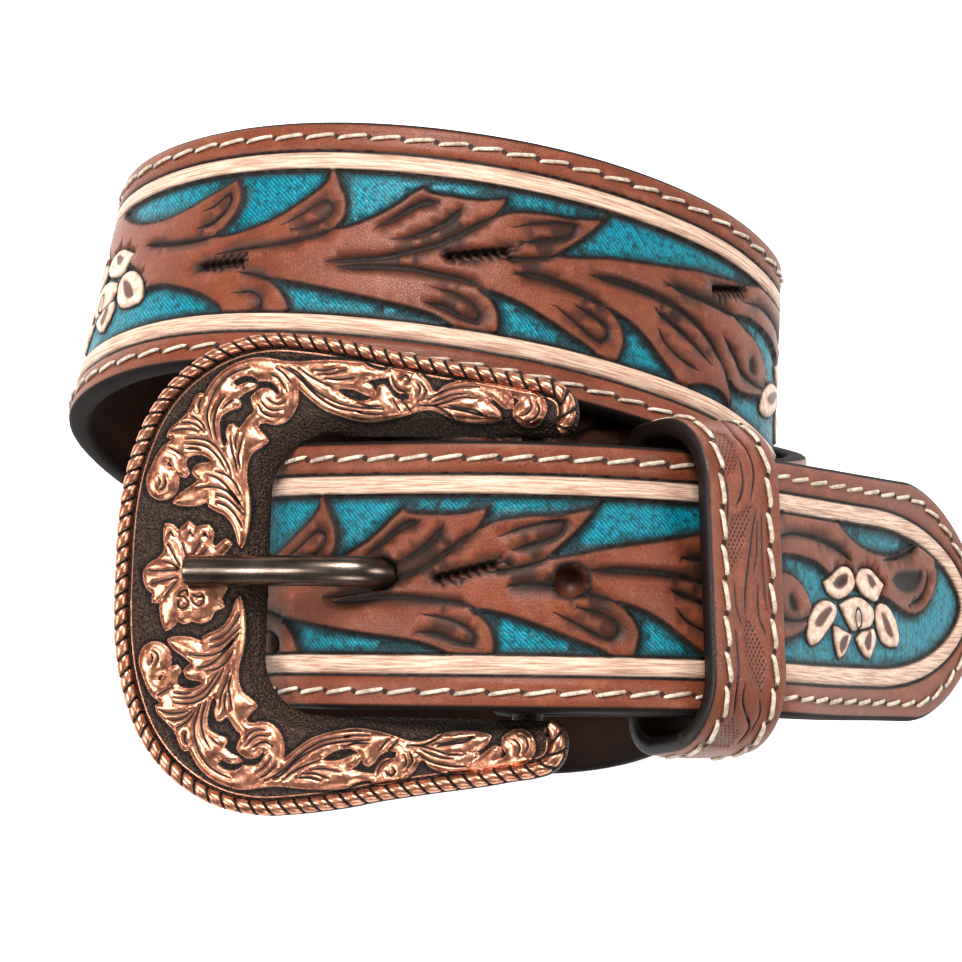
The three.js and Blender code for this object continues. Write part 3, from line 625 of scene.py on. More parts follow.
def stamp(p):
    """Height and paint of points on the strap: out, ground, cream, dark, heart, petal."""
    out = np.zeros(len(p))
    dark = np.zeros(len(p))
    petal = np.zeros(len(p))
    heart = np.zeros(len(p))
    edge = edge_distance(p)
    low, high = p[:, 0].min() - 3, p[:, 0].max() + 3

    def near(line):
        return line[:, 0].max() > low and line[:, 0].min() < high

    ground = np.full(len(p), -9.0)
    for loop in filter(near, pattern.ground):
        d = depth_in(p, loop)
        ground = np.maximum(ground, d)
    tooled = (p[:, 0] > TOOLED_FROM) & (edge > STRAP_W / 2 - CREAM_IN - 0.4)
    ground = np.where(tooled, ground, -9)
    ground = np.minimum(ground, edge - (STRAP_W / 2 - CREAM_IN))
    out += np.where(ground > 0, -0.62 * smoothstep(0, 0.4, ground) + 0.16 * smoothstep(0.5, 2.4, ground),
                    -0.20 * (1 - smoothstep(0, 0.7, -ground)))
    # Along each turquoise ground's edge: a dark line, partly antique stain in the cut and partly painted
    # shade, then a painted shade fading about a millimetre into the ground
    dark = np.maximum(dark, np.exp(-((ground - 0.08) / 0.46) ** 2))
    dark = np.maximum(dark, np.where(ground > 0, 0.5 * np.exp(-ground / 0.6), 0))
    for line, width in (c for c in pattern.cuts if near(c[0])):
        d, w = distance(p, line, False, width)
        use = tooled & (ground < 0.15)
        w = w * 1.85
        out += np.where(use, -0.55 * np.minimum(w / 0.3, 1.3) * np.clip(1 - d / (w + 0.16), 0, 1), 0)
        # Each cut is dark inside, partly antique stain and partly painted shade, with a wider painted
        # shade fading out beside it
        cut_shade_halo = 0.42 * np.clip(1 - d / (w + 0.8), 0, 1) * np.minimum(w / 0.3, 1)
        cut_darkening_and_shade = np.maximum(np.clip(1.35 - d / (w + 0.06), 0, 1), cut_shade_halo)
        dark = np.maximum(dark, np.where(use, cut_darkening_and_shade, 0))
    for loop in filter(near, pattern.hollows):
        d = depth_in(p, loop)
        out -= np.where(tooled, 0.45 * smoothstep(-0.1, 1.4, d), 0)
        dark = np.maximum(dark, np.where(tooled, 0.85 * smoothstep(-0.4, 0.8, d), 0))
    petal_d = np.full(len(p), -9.0)
    for loop in filter(near, pattern.petals):
        d = depth_in(p, loop)
        seam = np.exp(-((d + 0.06) / 0.26) ** 2)
        dark = np.where(d > -0.2, dark * smoothstep(0.25, 0.0, d), dark)
        dark = np.maximum(dark, np.where(tooled, seam, 0))
        petal_d = np.maximum(petal_d, d)
    petal_d = np.where(tooled, petal_d, -9)
    domed = 0.05 + 0.25 * smoothstep(0, 0.9, petal_d) - 0.45 * np.exp(-(petal_d / .3) ** 2)
    out = np.where(petal_d > 0, domed,
                   np.where(petal_d > -0.35, np.minimum(out, -0.45), out))
    petal = np.where(petal_d > 0, 0.5 + np.minimum(petal_d / 0.4, 0.5),
                     np.maximum(0.5 + petal_d / 0.4, 0))
    for loop in filter(near, pattern.hearts):
        d = depth_in(p, loop)
        out -= np.where(tooled, 0.5 * smoothstep(-0.15, 0.7, d), 0)
        heart = np.maximum(heart, np.where(tooled, smoothstep(-0.25, 0.75, d), 0))
    for loop in filter(near, pattern.eyes):
        d = distance(p, loop, True)
        ring = np.exp(-(d / 0.24) ** 2)
        out -= np.where(tooled, 0.35 * ring, 0)
        dark = np.maximum(dark, np.where(tooled, ring, 0))
    lines = np.zeros(len(p))
    for inset, width in ((STRAP_W / 2 - CREAM_IN, 0.22), (STRAP_W / 2 - CREAM_OUT, 0.30)):
        d = np.abs(edge - inset)
        out = np.minimum(out, -0.5 * np.clip(1 - d / (width + 0.2), 0, 1))
        lines = np.maximum(lines, np.clip(1.3 - d / (width + 0.05), 0, 1))
    dark = np.maximum(dark, lines)
    band = np.minimum(edge - (STRAP_W / 2 - CREAM_OUT), (STRAP_W / 2 - CREAM_IN) - edge)
    out += np.where(band > 0, 0.10 * smoothstep(0.2, 0.9, band), 0)
    cream = np.clip(0.5 + band / 0.4, 0, 1)
    blue = np.clip(0.5 + ground / 0.5, 0, 1) * (petal < 0.5)
    stitch_bed = np.exp(-((edge - STITCH_IN) / 0.55) ** 2)
    out -= 0.14 * stitch_bed
    return out, blue, cream, dark, heart, petal * (edge > STRAP_W / 2 - CREAM_IN)


STITCH_IN = 2.55


def clear_of(grid, drawn_points, gap):
    """Which grid points lie further than a gap from every drawn point."""
    clear = np.ones(len(grid), bool)
    for i in range(0, len(grid), 500):
        far = np.linalg.norm(grid[i:i + 500, None] - drawn_points[None], axis=-1).min(1)
        clear[i:i + 500] = far > gap
    return clear


def joined_up(points, edges, within):
    """Triangles between points that keep every edge, where their middles are within."""
    verts, _, faces = delaunay_2d_cdt(
        [Vector(q) for q in points], edges, [], 0, 1e-3, False)[:3]
    verts = np.array([(v.x, v.y) for v in verts])
    tris = np.array([f for f in faces if len(f) == 3])
    tris = tris[within(verts[tris].mean(1))]
    used = np.unique(tris)
    index = np.full(len(verts), -1)
    index[used] = np.arange(len(used))
    return verts[used], index[tris]


def tube_faces(first, rows, around):
    """Four-sided faces between closed rows of points that follow each other."""
    return [(first + i * around + k, first + i * around + (k + 1) % around,
             first + (i + 1) * around + (k + 1) % around, first + (i + 1) * around + k)
            for i in range(rows - 1) for k in range(around)]


def tooled_window(l0, l1):
    """Points and triangles of the stamped face between two lengths, fitted to
    its lines so that every cut and colour border is crisp."""
    rings = ring_lengths(l0, l1)
    rim = half_width(rings) - EDGE_IN
    rim = np.maximum(rim, 0.12)
    ladder = np.linspace(rim[0], -rim[0], 26)
    ladder_end = np.linspace(rim[-1], -rim[-1], 26 if l1 < STRAP_LENGTH - 1 else 2)
    outline = np.vstack([
        np.stack([rings, -rim], -1),
        np.stack([np.full(len(ladder_end) - 2, rings[-1]), ladder_end[::-1][1:-1]], -1),
        np.stack([rings, rim], -1)[::-1],
        np.stack([np.full(24, l0), ladder[1:-1]], -1)])
    lines = [(outline, True)]
    for inset in (STRAP_W / 2 - CREAM_IN, STRAP_W / 2 - CREAM_OUT):
        for shift in (-0.42, 0.0, 0.42):
            lines += [(line, False) for line in border_line(inset + shift, l0, l1)]
    for inset in (STITCH_IN - 0.9, STITCH_IN, STITCH_IN + 0.9):
        lines += [(line, False) for line in border_line(inset, l0, l1)]

    def add(line, closed):
        if line[:, 0].max() > l0 and line[:, 0].min() < l1:
            lines.append((line, closed))

    if l1 > TOOLED_FROM:
        for loop in pattern.ground:
            for by in (0.0, 0.4, -0.6):
                add(shifted(loop, by, True) if by else loop, True)
        for loop in pattern.petals:
            for by in (0.0, 0.3, 0.9, -0.35):
                add(shifted(loop, by, True) if by else loop, True)
        for loop in pattern.hearts:
            for by in (-0.2, 0.35):
                add(shifted(loop, by, True), True)
        for loop in pattern.eyes:
            for size in (0.72, 1.0, 1.25):
                add(loop.mean(0) + (loop - loop.mean(0)) * size, True)
        for loop in pattern.hollows:
            for by in (0.0, 1.0):
                add(shifted(loop, by, True), True)
        for line, width in pattern.cuts:
            add(line, False)
            add(shifted(line, width + 0.14, False), False)
            add(shifted(line, -width - 0.14, False), False)
    xs = np.arange(l0 + 0.8, l1 - 0.4, 1.55)
    ys = np.arange(-17.2, 17.3, 1.5)
    grid = np.stack(np.meshgrid(xs, ys), -1).reshape(-1, 2)
    grid[:, 0] += 0.35 * np.sin(grid[:, 1] * 7.3 + grid[:, 0] * 1.7)
    grid = grid[np.abs(grid[:, 1]) < half_width(grid[:, 0]) - EDGE_IN - 0.5]
    points, edges = [], []
    kept = []
    for number, (line, closed) in enumerate(lines):
        p = line.copy()
        if number > 0:
            p = np.clip(p, [l0 - 30, -30], [l1 + 30, 30])
            inner = (p[:, 0] > l0) & (p[:, 0] < l1)
        start = len(points)
        n = len(p)
        points += [tuple(q) for q in p]
        pairs = [(start + i, start + (i + 1) % n) for i in range(n if closed else n - 1)]
        if number > 0:
            keep = [inner[i - start] or inner[j - start] for i, j in pairs]
            pairs = [pair for pair, ok in zip(pairs, keep) if ok]
            kept.append(p[inner])
        edges += pairs
    angles = np.arange(24) / 24 * 2 * math.pi
    for at, v in HOLES:
        if l0 < at < l1:
            for r in (HOLE_R, HOLE_R + 0.35):
                start = len(points)
                points += [(at + r * math.cos(a), v + r * math.sin(a)) for a in angles]
                edges += [(start + i, start + (i + 1) % 24) for i in range(24)]

    def within(middle):
        ok = (middle[:, 0] > l0 - 1e-4) & (middle[:, 0] < l1 + 1e-4)
        ok &= np.abs(middle[:, 1]) < np.interp(middle[:, 0], rings, rim) + 1e-4
        for at, v in HOLES:
            ok &= np.hypot(middle[:, 0] - at, middle[:, 1] - v) > HOLE_R - 0.05
        return ok

    points += [tuple(q) for q in grid[clear_of(grid, np.vstack(kept), 0.45)]]
    return *joined_up(points, edges, within), rings


def close_up(made):
    """Welds a mesh's seams and points its faces outwards."""
    edit = bmesh.new()
    edit.from_mesh(made.data)
    bmesh.ops.remove_doubles(edit, verts=edit.verts, dist=2e-6)
    bmesh.ops.recalc_face_normals(edit, faces=edit.faces)
    edit.to_mesh(made.data)
    edit.free()


def finish_shell(made, values, uv):
    """Paint values, flat coordinates in cm, welded seams, normals outward."""
    for name, value in values.items():
        layer = made.data.attributes.new(name, "FLOAT", "POINT")
        layer.data.foreach_set("value", np.asarray(value).astype(np.float32))
    corner = np.zeros(len(made.data.loops), np.int32)
    made.data.loops.foreach_get("vertex_index", corner)
    layer = made.data.uv_layers.new(name="flat_cm")
    layer.data.foreach_set("uv", np.asarray(uv)[corner].astype(np.float32).ravel())
    close_up(made)


def strap_mesh():
    cuts = [0.0, TOOLED_FROM] + [
        FLOWERS[k] + CUT_AT * (FLOWERS[k + 1] - FLOWERS[k]) / REPEAT for k in range(1, 7)]
    cuts.append(STRAP_LENGTH)
    flat, faces, out, paint, all_rings = [], [], [], [], []
    count = 0
    for l0, l1 in zip(cuts[:-1], cuts[1:]):
        p, tris, rings = tooled_window(l0, l1)
        values = []
        for i in range(0, len(p), 1500):
            values.append(np.stack(stamp(p[i:i + 1500]), -1))
        values = np.vstack(values)
        rim_edge = edge_distance(p) < EDGE_IN + 0.05
        values[rim_edge, 0] = 0
        for at, v in HOLES:
            d = np.hypot(p[:, 0] - at, p[:, 1] - v)
            dip = d < HOLE_R + 0.05
            values[dip, 0] -= 0.25
            values[d < HOLE_R + 0.6, 3] = np.maximum(values[d < HOLE_R + 0.6, 3], 0.75)
        flat.append(p)
        out.append(values[:, 0])
        paint.append(values[:, 1:])
        faces.append(tris + count)
        count += len(p)
        all_rings.append(rings if l1 == cuts[-1] else rings[:-1])
    flat, out, paint, faces = map(np.vstack, (flat, np.hstack(out)[:, None], paint, faces))
    height = thickness(flat[:, 0]) / 2 + out[:, 0]
    points = on_strap(flat[:, 0], flat[:, 1], height)
    side = np.zeros(len(points))
    uv = flat / 10
    # Edges and back: rings of points from one side of the face to the other
    rings = np.concatenate(all_rings)
    half = np.maximum(half_width(rings), EDGE_IN + 0.12)
    t = thickness(rings) / 2
    profile = [(EDGE_IN, 1, 0.0), (0.42, 0.91, 0.9), (0.10, 0.62, 1), (0.0, 0.2, 1), (0.0, -0.2, 1),
               (0.10, -0.62, 1), (0.42, -0.93, 1), (1.2, -1.0, 1.25)]
    section = [(half - inset, up, s) for inset, up, s in profile]
    section += [(half * share, -1.0, 2.0) for share in (0.55, 0.0, -0.55)]
    section += [(inset - half, up, s) for inset, up, s in profile[::-1]]
    rows = [on_strap(rings, width, t * up) for width, up, _ in section]
    sides = [np.full(len(rings), s) for _, _, s in section]
    widths = [width for width, _, _ in section]
    shell = np.stack(rows, 1).reshape(-1, 3)
    shell_side = np.stack(sides, 1).ravel()
    shell_uv = np.stack([np.repeat(rings, len(rows)), np.stack(widths, 1).ravel()], -1) / 10
    m = len(rows)
    quads = []
    base = len(points)
    for i in range(len(rings) - 1):
        for k in range(m - 1):
            a = base + i * m + k
            quads.append((a, a + m, a + m + 1, a + 1))
    first = [base + k for k in range(m)]
    last = [base + (len(rings) - 1) * m + k for k in range(m)]
    caps = [tuple(first), tuple(last[::-1])]
    # Punched holes: wall and floor, both a little darkened as painted shade
    hole_points, hole_faces = [], []
    base += len(shell)
    for at, aside in HOLES:
        a = np.arange(24) / 24 * 2 * math.pi
        l, v = at + HOLE_R * np.cos(a), aside + HOLE_R * np.sin(a)
        start = base + len(hole_points) * 24
        flat_ring = np.stack([l, v], -1)
        top = np.stack(stamp(flat_ring), -1)[:, 0] - 0.25
        for depth in (top + STRAP_T / 2, np.full(24, 0.4), np.full(24, -STRAP_T / 2 + 0.1)):
            hole_points.append(on_strap(l, v, depth))
        hole_faces += tube_faces(start, 3, 24)
        hole_faces.append(tuple(start + 48 + i for i in range(24)))
    holes = np.vstack(hole_points)
    all_points = np.vstack([points, shell, holes])
    all_faces = [tuple(f) for f in faces.tolist()] + quads + caps + hole_faces
    made = link_mesh("strap_leather", all_points, all_faces)
    n_rest = len(shell) + len(holes)
    values = {
        "ground": np.concatenate([paint[:, 0], np.zeros(n_rest)]),
        "cream": np.concatenate([paint[:, 1], np.zeros(n_rest)]),
        # the holes' walls and floor carry a little painted shade
        "dark": np.concatenate([paint[:, 2], np.zeros(len(shell)), np.full(len(holes), 0.35)]),
        "heart": np.concatenate([paint[:, 3], np.zeros(n_rest)]),
        "petal": np.concatenate([paint[:, 4], np.zeros(n_rest)]),
        "side": np.concatenate([side, shell_side, np.zeros(len(holes))]),
    }
    finish_shell(made, values, np.vstack([uv, shell_uv, np.zeros((len(holes), 2))]))
    return made


strap = strap_mesh()


def calc(tree, kind, a, b=0.0, c=0.0):
    return put(tree, "ShaderNodeMath", {0: a, 1: b, 2: c}, operation=kind).outputs[0]


def mix_colour(tree, share, a, b, kind="MIX"):
    made = put(tree, "ShaderNodeMix", {0: share}, data_type="RGBA", blend_type=kind)
    for socket, value in ((made.inputs[6], a), (made.inputs[7], b)):
        if isinstance(value, bpy.types.NodeSocket):
            tree.links.new(value, socket)
        else:
            socket.default_value = (*value, 1)
    return made.outputs[2]


def ramp(tree, value, low, high):
    return put(tree, "ShaderNodeMapRange", {0: value, 1: low, 2: high}, clamp=True).outputs[0]


def noise(tree, vector, scale, detail=3.0, rough=0.55):
    return put(tree, "ShaderNodeTexNoise", {"Vector": vector, "Scale": scale, "Detail": detail,
                                            "Roughness": rough}).outputs["Fac"]


def new_material(name):
    material = bpy.data.materials.new(name)
    material.use_nodes = True
    tree = material.node_tree
    return material, tree, tree.nodes["Principled BSDF"]


def grain_group():
    """Leather grain: fine creases, pores and blotches of uneven dye."""
    tree = bpy.data.node_groups.new("leather_grain", "ShaderNodeTree")
    tree.interface.new_socket("Vector", in_out="INPUT", socket_type="NodeSocketVector")
    tree.interface.new_socket("Scale", in_out="INPUT", socket_type="NodeSocketFloat")
    for name in ("Height", "Pores", "Specks", "Cracks", "Blotch"):
        tree.interface.new_socket(name, in_out="OUTPUT", socket_type="NodeSocketFloat")
    source = tree.nodes.new("NodeGroupInput")
    result = tree.nodes.new("NodeGroupOutput")
    scaled = put(tree, "ShaderNodeVectorMath", {0: source.outputs["Vector"]}, operation="SCALE")
    tree.links.new(source.outputs["Scale"], scaled.inputs["Scale"])
    at = scaled.outputs[0]
    cells = put(tree, "ShaderNodeTexVoronoi", {"Vector": at, "Scale": 22.0},
                feature="DISTANCE_TO_EDGE").outputs["Distance"]
    creases = ramp(tree, cells, 0.0, 0.12)
    fine = noise(tree, at, 60.0, 4.0)
    tree.links.new(calc(tree, "ADD", calc(tree, "MULTIPLY", creases, 0.5),
                        calc(tree, "MULTIPLY", fine, 0.5)), result.inputs["Height"])
    spots = put(tree, "ShaderNodeTexVoronoi", {"Vector": at, "Scale": 9.0, "Randomness": 1.0})
    pores = calc(tree, "SUBTRACT", 1.0, ramp(tree, spots.outputs["Distance"], 0.05, 0.16))
    patchy = ramp(tree, noise(tree, at, 2.4, 3.0), 0.45, 0.7)
    tree.links.new(calc(tree, "MULTIPLY", pores, patchy), result.inputs["Pores"])
    tree.links.new(noise(tree, at, 1.1, 5.0, 0.65), result.inputs["Blotch"])
    tree.links.new(ramp(tree, noise(tree, at, 30.0, 5.0, 0.75), 0.50, 0.66), result.inputs["Specks"])
    across = put(tree, "ShaderNodeMapping", {0: at, 3: (34.0, 6.0, 1.0)}).outputs[0]
    split = ramp(tree, noise(tree, across, 1.0, 3.0, 0.6), 0.62, 0.68)
    tree.links.new(calc(tree, "MULTIPLY", split, patchy), result.inputs["Cracks"])
    return tree


leather_grain = grain_group()


def grain(tree, vector, scale):
    made = tree.nodes.new("ShaderNodeGroup")
    made.node_tree = leather_grain
    tree.links.new(vector, made.inputs["Vector"])
    made.inputs["Scale"].default_value = scale
    return made.outputs


SADDLE_BROWN = (0.225, 0.069, 0.031)
SADDLE_DEEP = (0.150, 0.042, 0.019)
SADDLE_PALE = (0.330, 0.118, 0.060)
# Near black of antique stain and dark edge paint, and of the painted shade beside the strap's cuts
ANTIQUING_AND_SHADE = (0.010, 0.0045, 0.003)
TURQUOISE = (0.001, 0.255, 0.330)
TURQUOISE_DEEP = (0.002, 0.050, 0.060)
PETAL_CREAM = (0.740, 0.550, 0.430)
ROUGH_BACK = (0.030, 0.012, 0.008)
ROUGH_BACK_WORN = (0.075, 0.026, 0.015)
CREAM = (0.680, 0.500, 0.390)
CREAM_WORN = (0.400, 0.235, 0.160)


def saddle_brown(tree, uv, g):
    """Antiqued brown leather: uneven dye, pale worn spots, dark specks and cracks."""
    brown = mix_colour(tree, ramp(tree, g["Blotch"], 0.25, 0.62), SADDLE_DEEP, SADDLE_BROWN)
    brown = mix_colour(tree, ramp(tree, noise(tree, uv, 3.0, 6.0, 0.7), 0.52, 0.80), brown, SADDLE_PALE)
    brown = mix_colour(tree, calc(tree, "MULTIPLY", g["Specks"], 0.50), brown, ANTIQUING_AND_SHADE)
    return mix_colour(tree, calc(tree, "MULTIPLY", g["Cracks"], 0.85), brown, ANTIQUING_AND_SHADE)


def layer(tree, name):
    """A paint value that the mesh carries for each point."""
    return put(tree, "ShaderNodeAttribute", attribute_name=name).outputs["Fac"]


def strap_material():
    material, tree, surface = new_material("tooled_saddle_leather")
    uv = put(tree, "ShaderNodeUVMap", uv_map="flat_cm").outputs[0]
    ground, cream, dark, heart, side, petal = (
        layer(tree, name) for name in ("ground", "cream", "dark", "heart", "side", "petal"))
    g = grain(tree, uv, 1.0)
    brown = saddle_brown(tree, uv, g)
    brown = mix_colour(tree, calc(tree, "MULTIPLY", g["Pores"], 0.75), brown, ANTIQUING_AND_SHADE)
    speck = ramp(tree, noise(tree, uv, 9.0, 6.0, 0.75), 0.36, 0.54)
    blue = mix_colour(tree, speck, TURQUOISE_DEEP, TURQUOISE)
    slanting = put(tree, "ShaderNodeTexWave", {"Vector": uv, "Scale": 9.0, "Distortion": 3.0,
                                               "Detail": 2.0}, bands_direction="DIAGONAL").outputs["Fac"]
    blue = mix_colour(tree, calc(tree, "MULTIPLY", ramp(tree, slanting, 0.55, 0.10), 0.70), blue,
                      TURQUOISE_DEEP)
    stretched = put(tree, "ShaderNodeMapping", {0: uv, 3: (0.30, 7.0, 1.0)}).outputs[0]
    streak = ramp(tree, noise(tree, stretched, 5.0, 5.0, 0.7), 0.42, 0.58)
    white = mix_colour(tree, streak, CREAM_WORN, CREAM)
    bloom = mix_colour(tree, ramp(tree, noise(tree, uv, 7.0, 4.0), 0.40, 0.70), PETAL_CREAM, CREAM_WORN)
    bloom = mix_colour(tree, ramp(tree, heart, 0.02, 0.55), bloom, SADDLE_DEEP)
    bloom = mix_colour(tree, ramp(tree, heart, 0.40, 1.0), bloom, ANTIQUING_AND_SHADE)
    colour = mix_colour(tree, ramp(tree, ground, 0.46, 0.54), brown, blue)
    colour = mix_colour(tree, ramp(tree, petal, 0.46, 0.54), colour, bloom)
    colour = mix_colour(tree, ramp(tree, cream, 0.46, 0.54), colour, white)
    # The dark layer darkens the colour unevenly: antique stain in the cuts, and painted shade beside the
    # cuts and along the ground's edges
    uneven_strength = ramp(tree, noise(tree, uv, 6.0, 4.0, 0.7), 0.25, 0.75)
    darkening_strength = calc(tree, "MULTIPLY_ADD", uneven_strength, 0.22, 0.86)
    groove_darkening_and_shade = calc(tree, "MULTIPLY", ramp(tree, dark, 0.04, 0.72), darkening_strength)
    colour = mix_colour(tree, groove_darkening_and_shade, colour, ANTIQUING_AND_SHADE)
    on_edge = ramp(tree, side, 0.15, 0.75)
    colour = mix_colour(tree, on_edge, colour, ANTIQUING_AND_SHADE)
    back = mix_colour(tree, ramp(tree, g["Blotch"], 0.3, 0.7), ROUGH_BACK, ROUGH_BACK_WORN)
    colour = mix_colour(tree, ramp(tree, side, 1.1, 1.6), colour, back)
    tree.links.new(colour, surface.inputs["Base Color"])
    gloss = calc(tree, "MULTIPLY_ADD", g["Blotch"], 0.30, 0.24)
    dull = calc(tree, "MAXIMUM", calc(tree, "MULTIPLY", groove_darkening_and_shade, 0.45), ramp(tree, side, 0.4, 0.9))
    rough = calc(tree, "ADD", gloss, calc(tree, "MULTIPLY", dull, 0.40))
    tree.links.new(rough, surface.inputs["Roughness"])
    surface.inputs["Specular IOR Level"].default_value = 0.30
    stamps = put(tree, "ShaderNodeTexVoronoi", {"Vector": uv, "Scale": 11.0, "Randomness": 0.55})
    pebble = ramp(tree, stamps.outputs["Distance"], 0.0, 0.55)
    matted = calc(tree, "MULTIPLY", calc(tree, "MULTIPLY", pebble, ramp(tree, ground, 0.6, 0.95)), 0.6)
    height = calc(tree, "ADD", calc(tree, "MULTIPLY", g["Height"], 0.22), matted)
    bump = put(tree, "ShaderNodeBump", {"Strength": 0.6, "Distance": 0.00022, "Height": height})
    tree.links.new(bump.outputs[0], surface.inputs["Normal"])
    return material


strap.data.materials.append(strap_material())
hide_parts("strap")
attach(strap, "root")


# ---------------------------------------------------------------------------
# Strap stitches: two rows of waxed cream thread sewn through the strap near
# its edges. Each stitch slants a little and dives into an awl hole.
# ---------------------------------------------------------------------------
STITCH_PITCH = 5.0
STITCH_LENGTH = 4.75
STITCH_RISE = 0.75
THREAD_R = 0.31
AWL_R = 0.42


def thread_stitch(name, radius):
    """One slanting stitch along X, its ends sunk below the leather."""
    around, rows, points = 8, 9, []
    for i in range(rows):
        share = i / (rows - 1)
        x = (share - 0.5) * STITCH_LENGTH
        y = (share - 0.5) * STITCH_RISE
        z = 0.30 - 0.62 * abs(2 * share - 1) ** 5
        r = radius * (1 - 0.35 * abs(2 * share - 1) ** 6) * (1 + 0.10 * math.sin(share * 25))
        for k in range(around):
            a = 2 * math.pi * k / around
            points.append((x, y + r * math.cos(a), z + 0.8 * r * math.sin(a)))
    faces = tube_faces(0, rows, around)
    faces += [tuple(range(around))[::-1], tuple(range((rows - 1) * around, rows * around))]
    made = link_mesh(name, points, faces)
    close_up(made)
    return made


def awl_hole(name):
    """The dark pricked hole that follows a stitch, a shallow dimple."""
    around = 8
    points = [(STITCH_PITCH / 2, 0, 0.03)]
    for r, z in ((AWL_R * 0.6, 0.08), (AWL_R, 0.11)):
        points += [(STITCH_PITCH / 2 + r * math.cos(2 * math.pi * k / around),
                    0.9 * r * math.sin(2 * math.pi * k / around), z) for k in range(around)]
    faces = [(0, 1 + k, 1 + (k + 1) % around) for k in range(around)]
    faces += [(1 + k, 9 + k, 9 + (k + 1) % around, 1 + (k + 1) % around) for k in range(around)]
    return link_mesh(name, points, faces)


def along_row_tree():
    """Sets one piece at an even pitch along a path, upright on the face."""
    tree = bpy.data.node_groups.new("pieces_along_row", "GeometryNodeTree")
    for name, kind in (("Geometry", "NodeSocketGeometry"), ("Pitch", "NodeSocketFloat"),
                       ("Piece", "NodeSocketObject"), ("Material", "NodeSocketMaterial")):
        tree.interface.new_socket(name, in_out="INPUT", socket_type=kind)
    tree.interface.new_socket("Geometry", in_out="OUTPUT", socket_type="NodeSocketGeometry")
    source = tree.nodes.new("NodeGroupInput").outputs
    result = tree.nodes.new("NodeGroupOutput")
    path_curve = put(tree, "GeometryNodeMeshToCurve", {"Mesh": source["Geometry"]})
    even = put(tree, "GeometryNodeResampleCurve", {"Curve": path_curve.outputs[0],
                                                   "Length": source["Pitch"]}, mode="LENGTH")
    outward = put(tree, "GeometryNodeInputNamedAttribute", {"Name": "outward"}, data_type="FLOAT_VECTOR")
    run = tree.nodes.new("GeometryNodeInputTangent")
    turned = put(tree, "FunctionNodeAxesToRotation",
                 {0: outward.outputs[0], 1: run.outputs[0]}, primary_axis="Z", secondary_axis="X")
    piece = put(tree, "GeometryNodeObjectInfo", {"Object": source["Piece"]})
    placed = put(tree, "GeometryNodeInstanceOnPoints",
                 {"Points": even.outputs[0], "Instance": piece.outputs["Geometry"],
                  "Rotation": turned.outputs[0]})
    real = put(tree, "GeometryNodeRealizeInstances", {"Geometry": placed.outputs[0]})
    painted = put(tree, "GeometryNodeSetMaterial", {"Geometry": real.outputs[0],
                                                    "Material": source["Material"]})
    tree.links.new(painted.outputs[0], result.inputs["Geometry"])
    return tree


along_row = along_row_tree()


def run_row(name, rows, outwards, pitch, piece, material):
    """Pieces along one or more open paths, turned into a plain mesh."""
    points, edges = [], []
    for row in rows:
        edges += [(len(points) + i, len(points) + i + 1) for i in range(len(row) - 1)]
        points += [tuple(p) for p in row * MM]
    mesh = bpy.data.meshes.new(name)
    mesh.from_pydata(points, edges, [])
    layer = mesh.attributes.new("outward", "FLOAT_VECTOR", "POINT")
    layer.data.foreach_set("vector", np.vstack(outwards).astype(np.float32).ravel())
    made = bpy.data.objects.new(name, mesh)
    scene.collection.objects.link(made)
    modifier = made.modifiers.new("along_row", "NODES")
    modifier.node_group = along_row
    names = {s.name: s.identifier for s in along_row.interface.items_tree if s.in_out == "INPUT"}
    modifier[names["Pitch"]] = pitch * MM
    modifier[names["Piece"]] = piece
    modifier[names["Material"]] = material
    evaluated = made.evaluated_get(bpy.context.evaluated_depsgraph_get())
    plain = bpy.data.meshes.new_from_object(evaluated)
    made.modifiers.remove(modifier)
    made.data = plain
    return made


def thread_material():
    material, tree, surface = new_material("waxed_thread")
    at = put(tree, "ShaderNodeTexCoord").outputs["Object"]
    tone = noise(tree, at, 900.0, 3.0)
    tree.links.new(mix_colour(tree, ramp(tree, tone, 0.35, 0.65),
                              (0.36, 0.28, 0.21), (0.66, 0.58, 0.47)),
                   surface.inputs["Base Color"])
    surface.inputs["Roughness"].default_value = 0.55
    twist = put(tree, "ShaderNodeTexWave", {"Vector": at, "Scale": 900.0, "Distortion": 1.5},
                bands_direction="DIAGONAL").outputs["Fac"]
    bump = put(tree, "ShaderNodeBump", {"Strength": 0.5, "Distance": 0.0001, "Height": twist})
    tree.links.new(bump.outputs[0], surface.inputs["Normal"])
    return material


def shadow_material():
    material, tree, surface = new_material("awl_hole_shadow")
    at = put(tree, "ShaderNodeTexCoord").outputs["Object"]
    tone = noise(tree, at, 700.0, 2.0)
    tree.links.new(mix_colour(tree, tone, (0.010, 0.005, 0.004), (0.045, 0.018, 0.012)),
                   surface.inputs["Base Color"])
    surface.inputs["Roughness"].default_value = 0.7
    return material


thread = thread_material()
hole_shadow = shadow_material()
stitch = thread_stitch("one_stitch", THREAD_R)
hole = awl_hole("one_awl_hole")

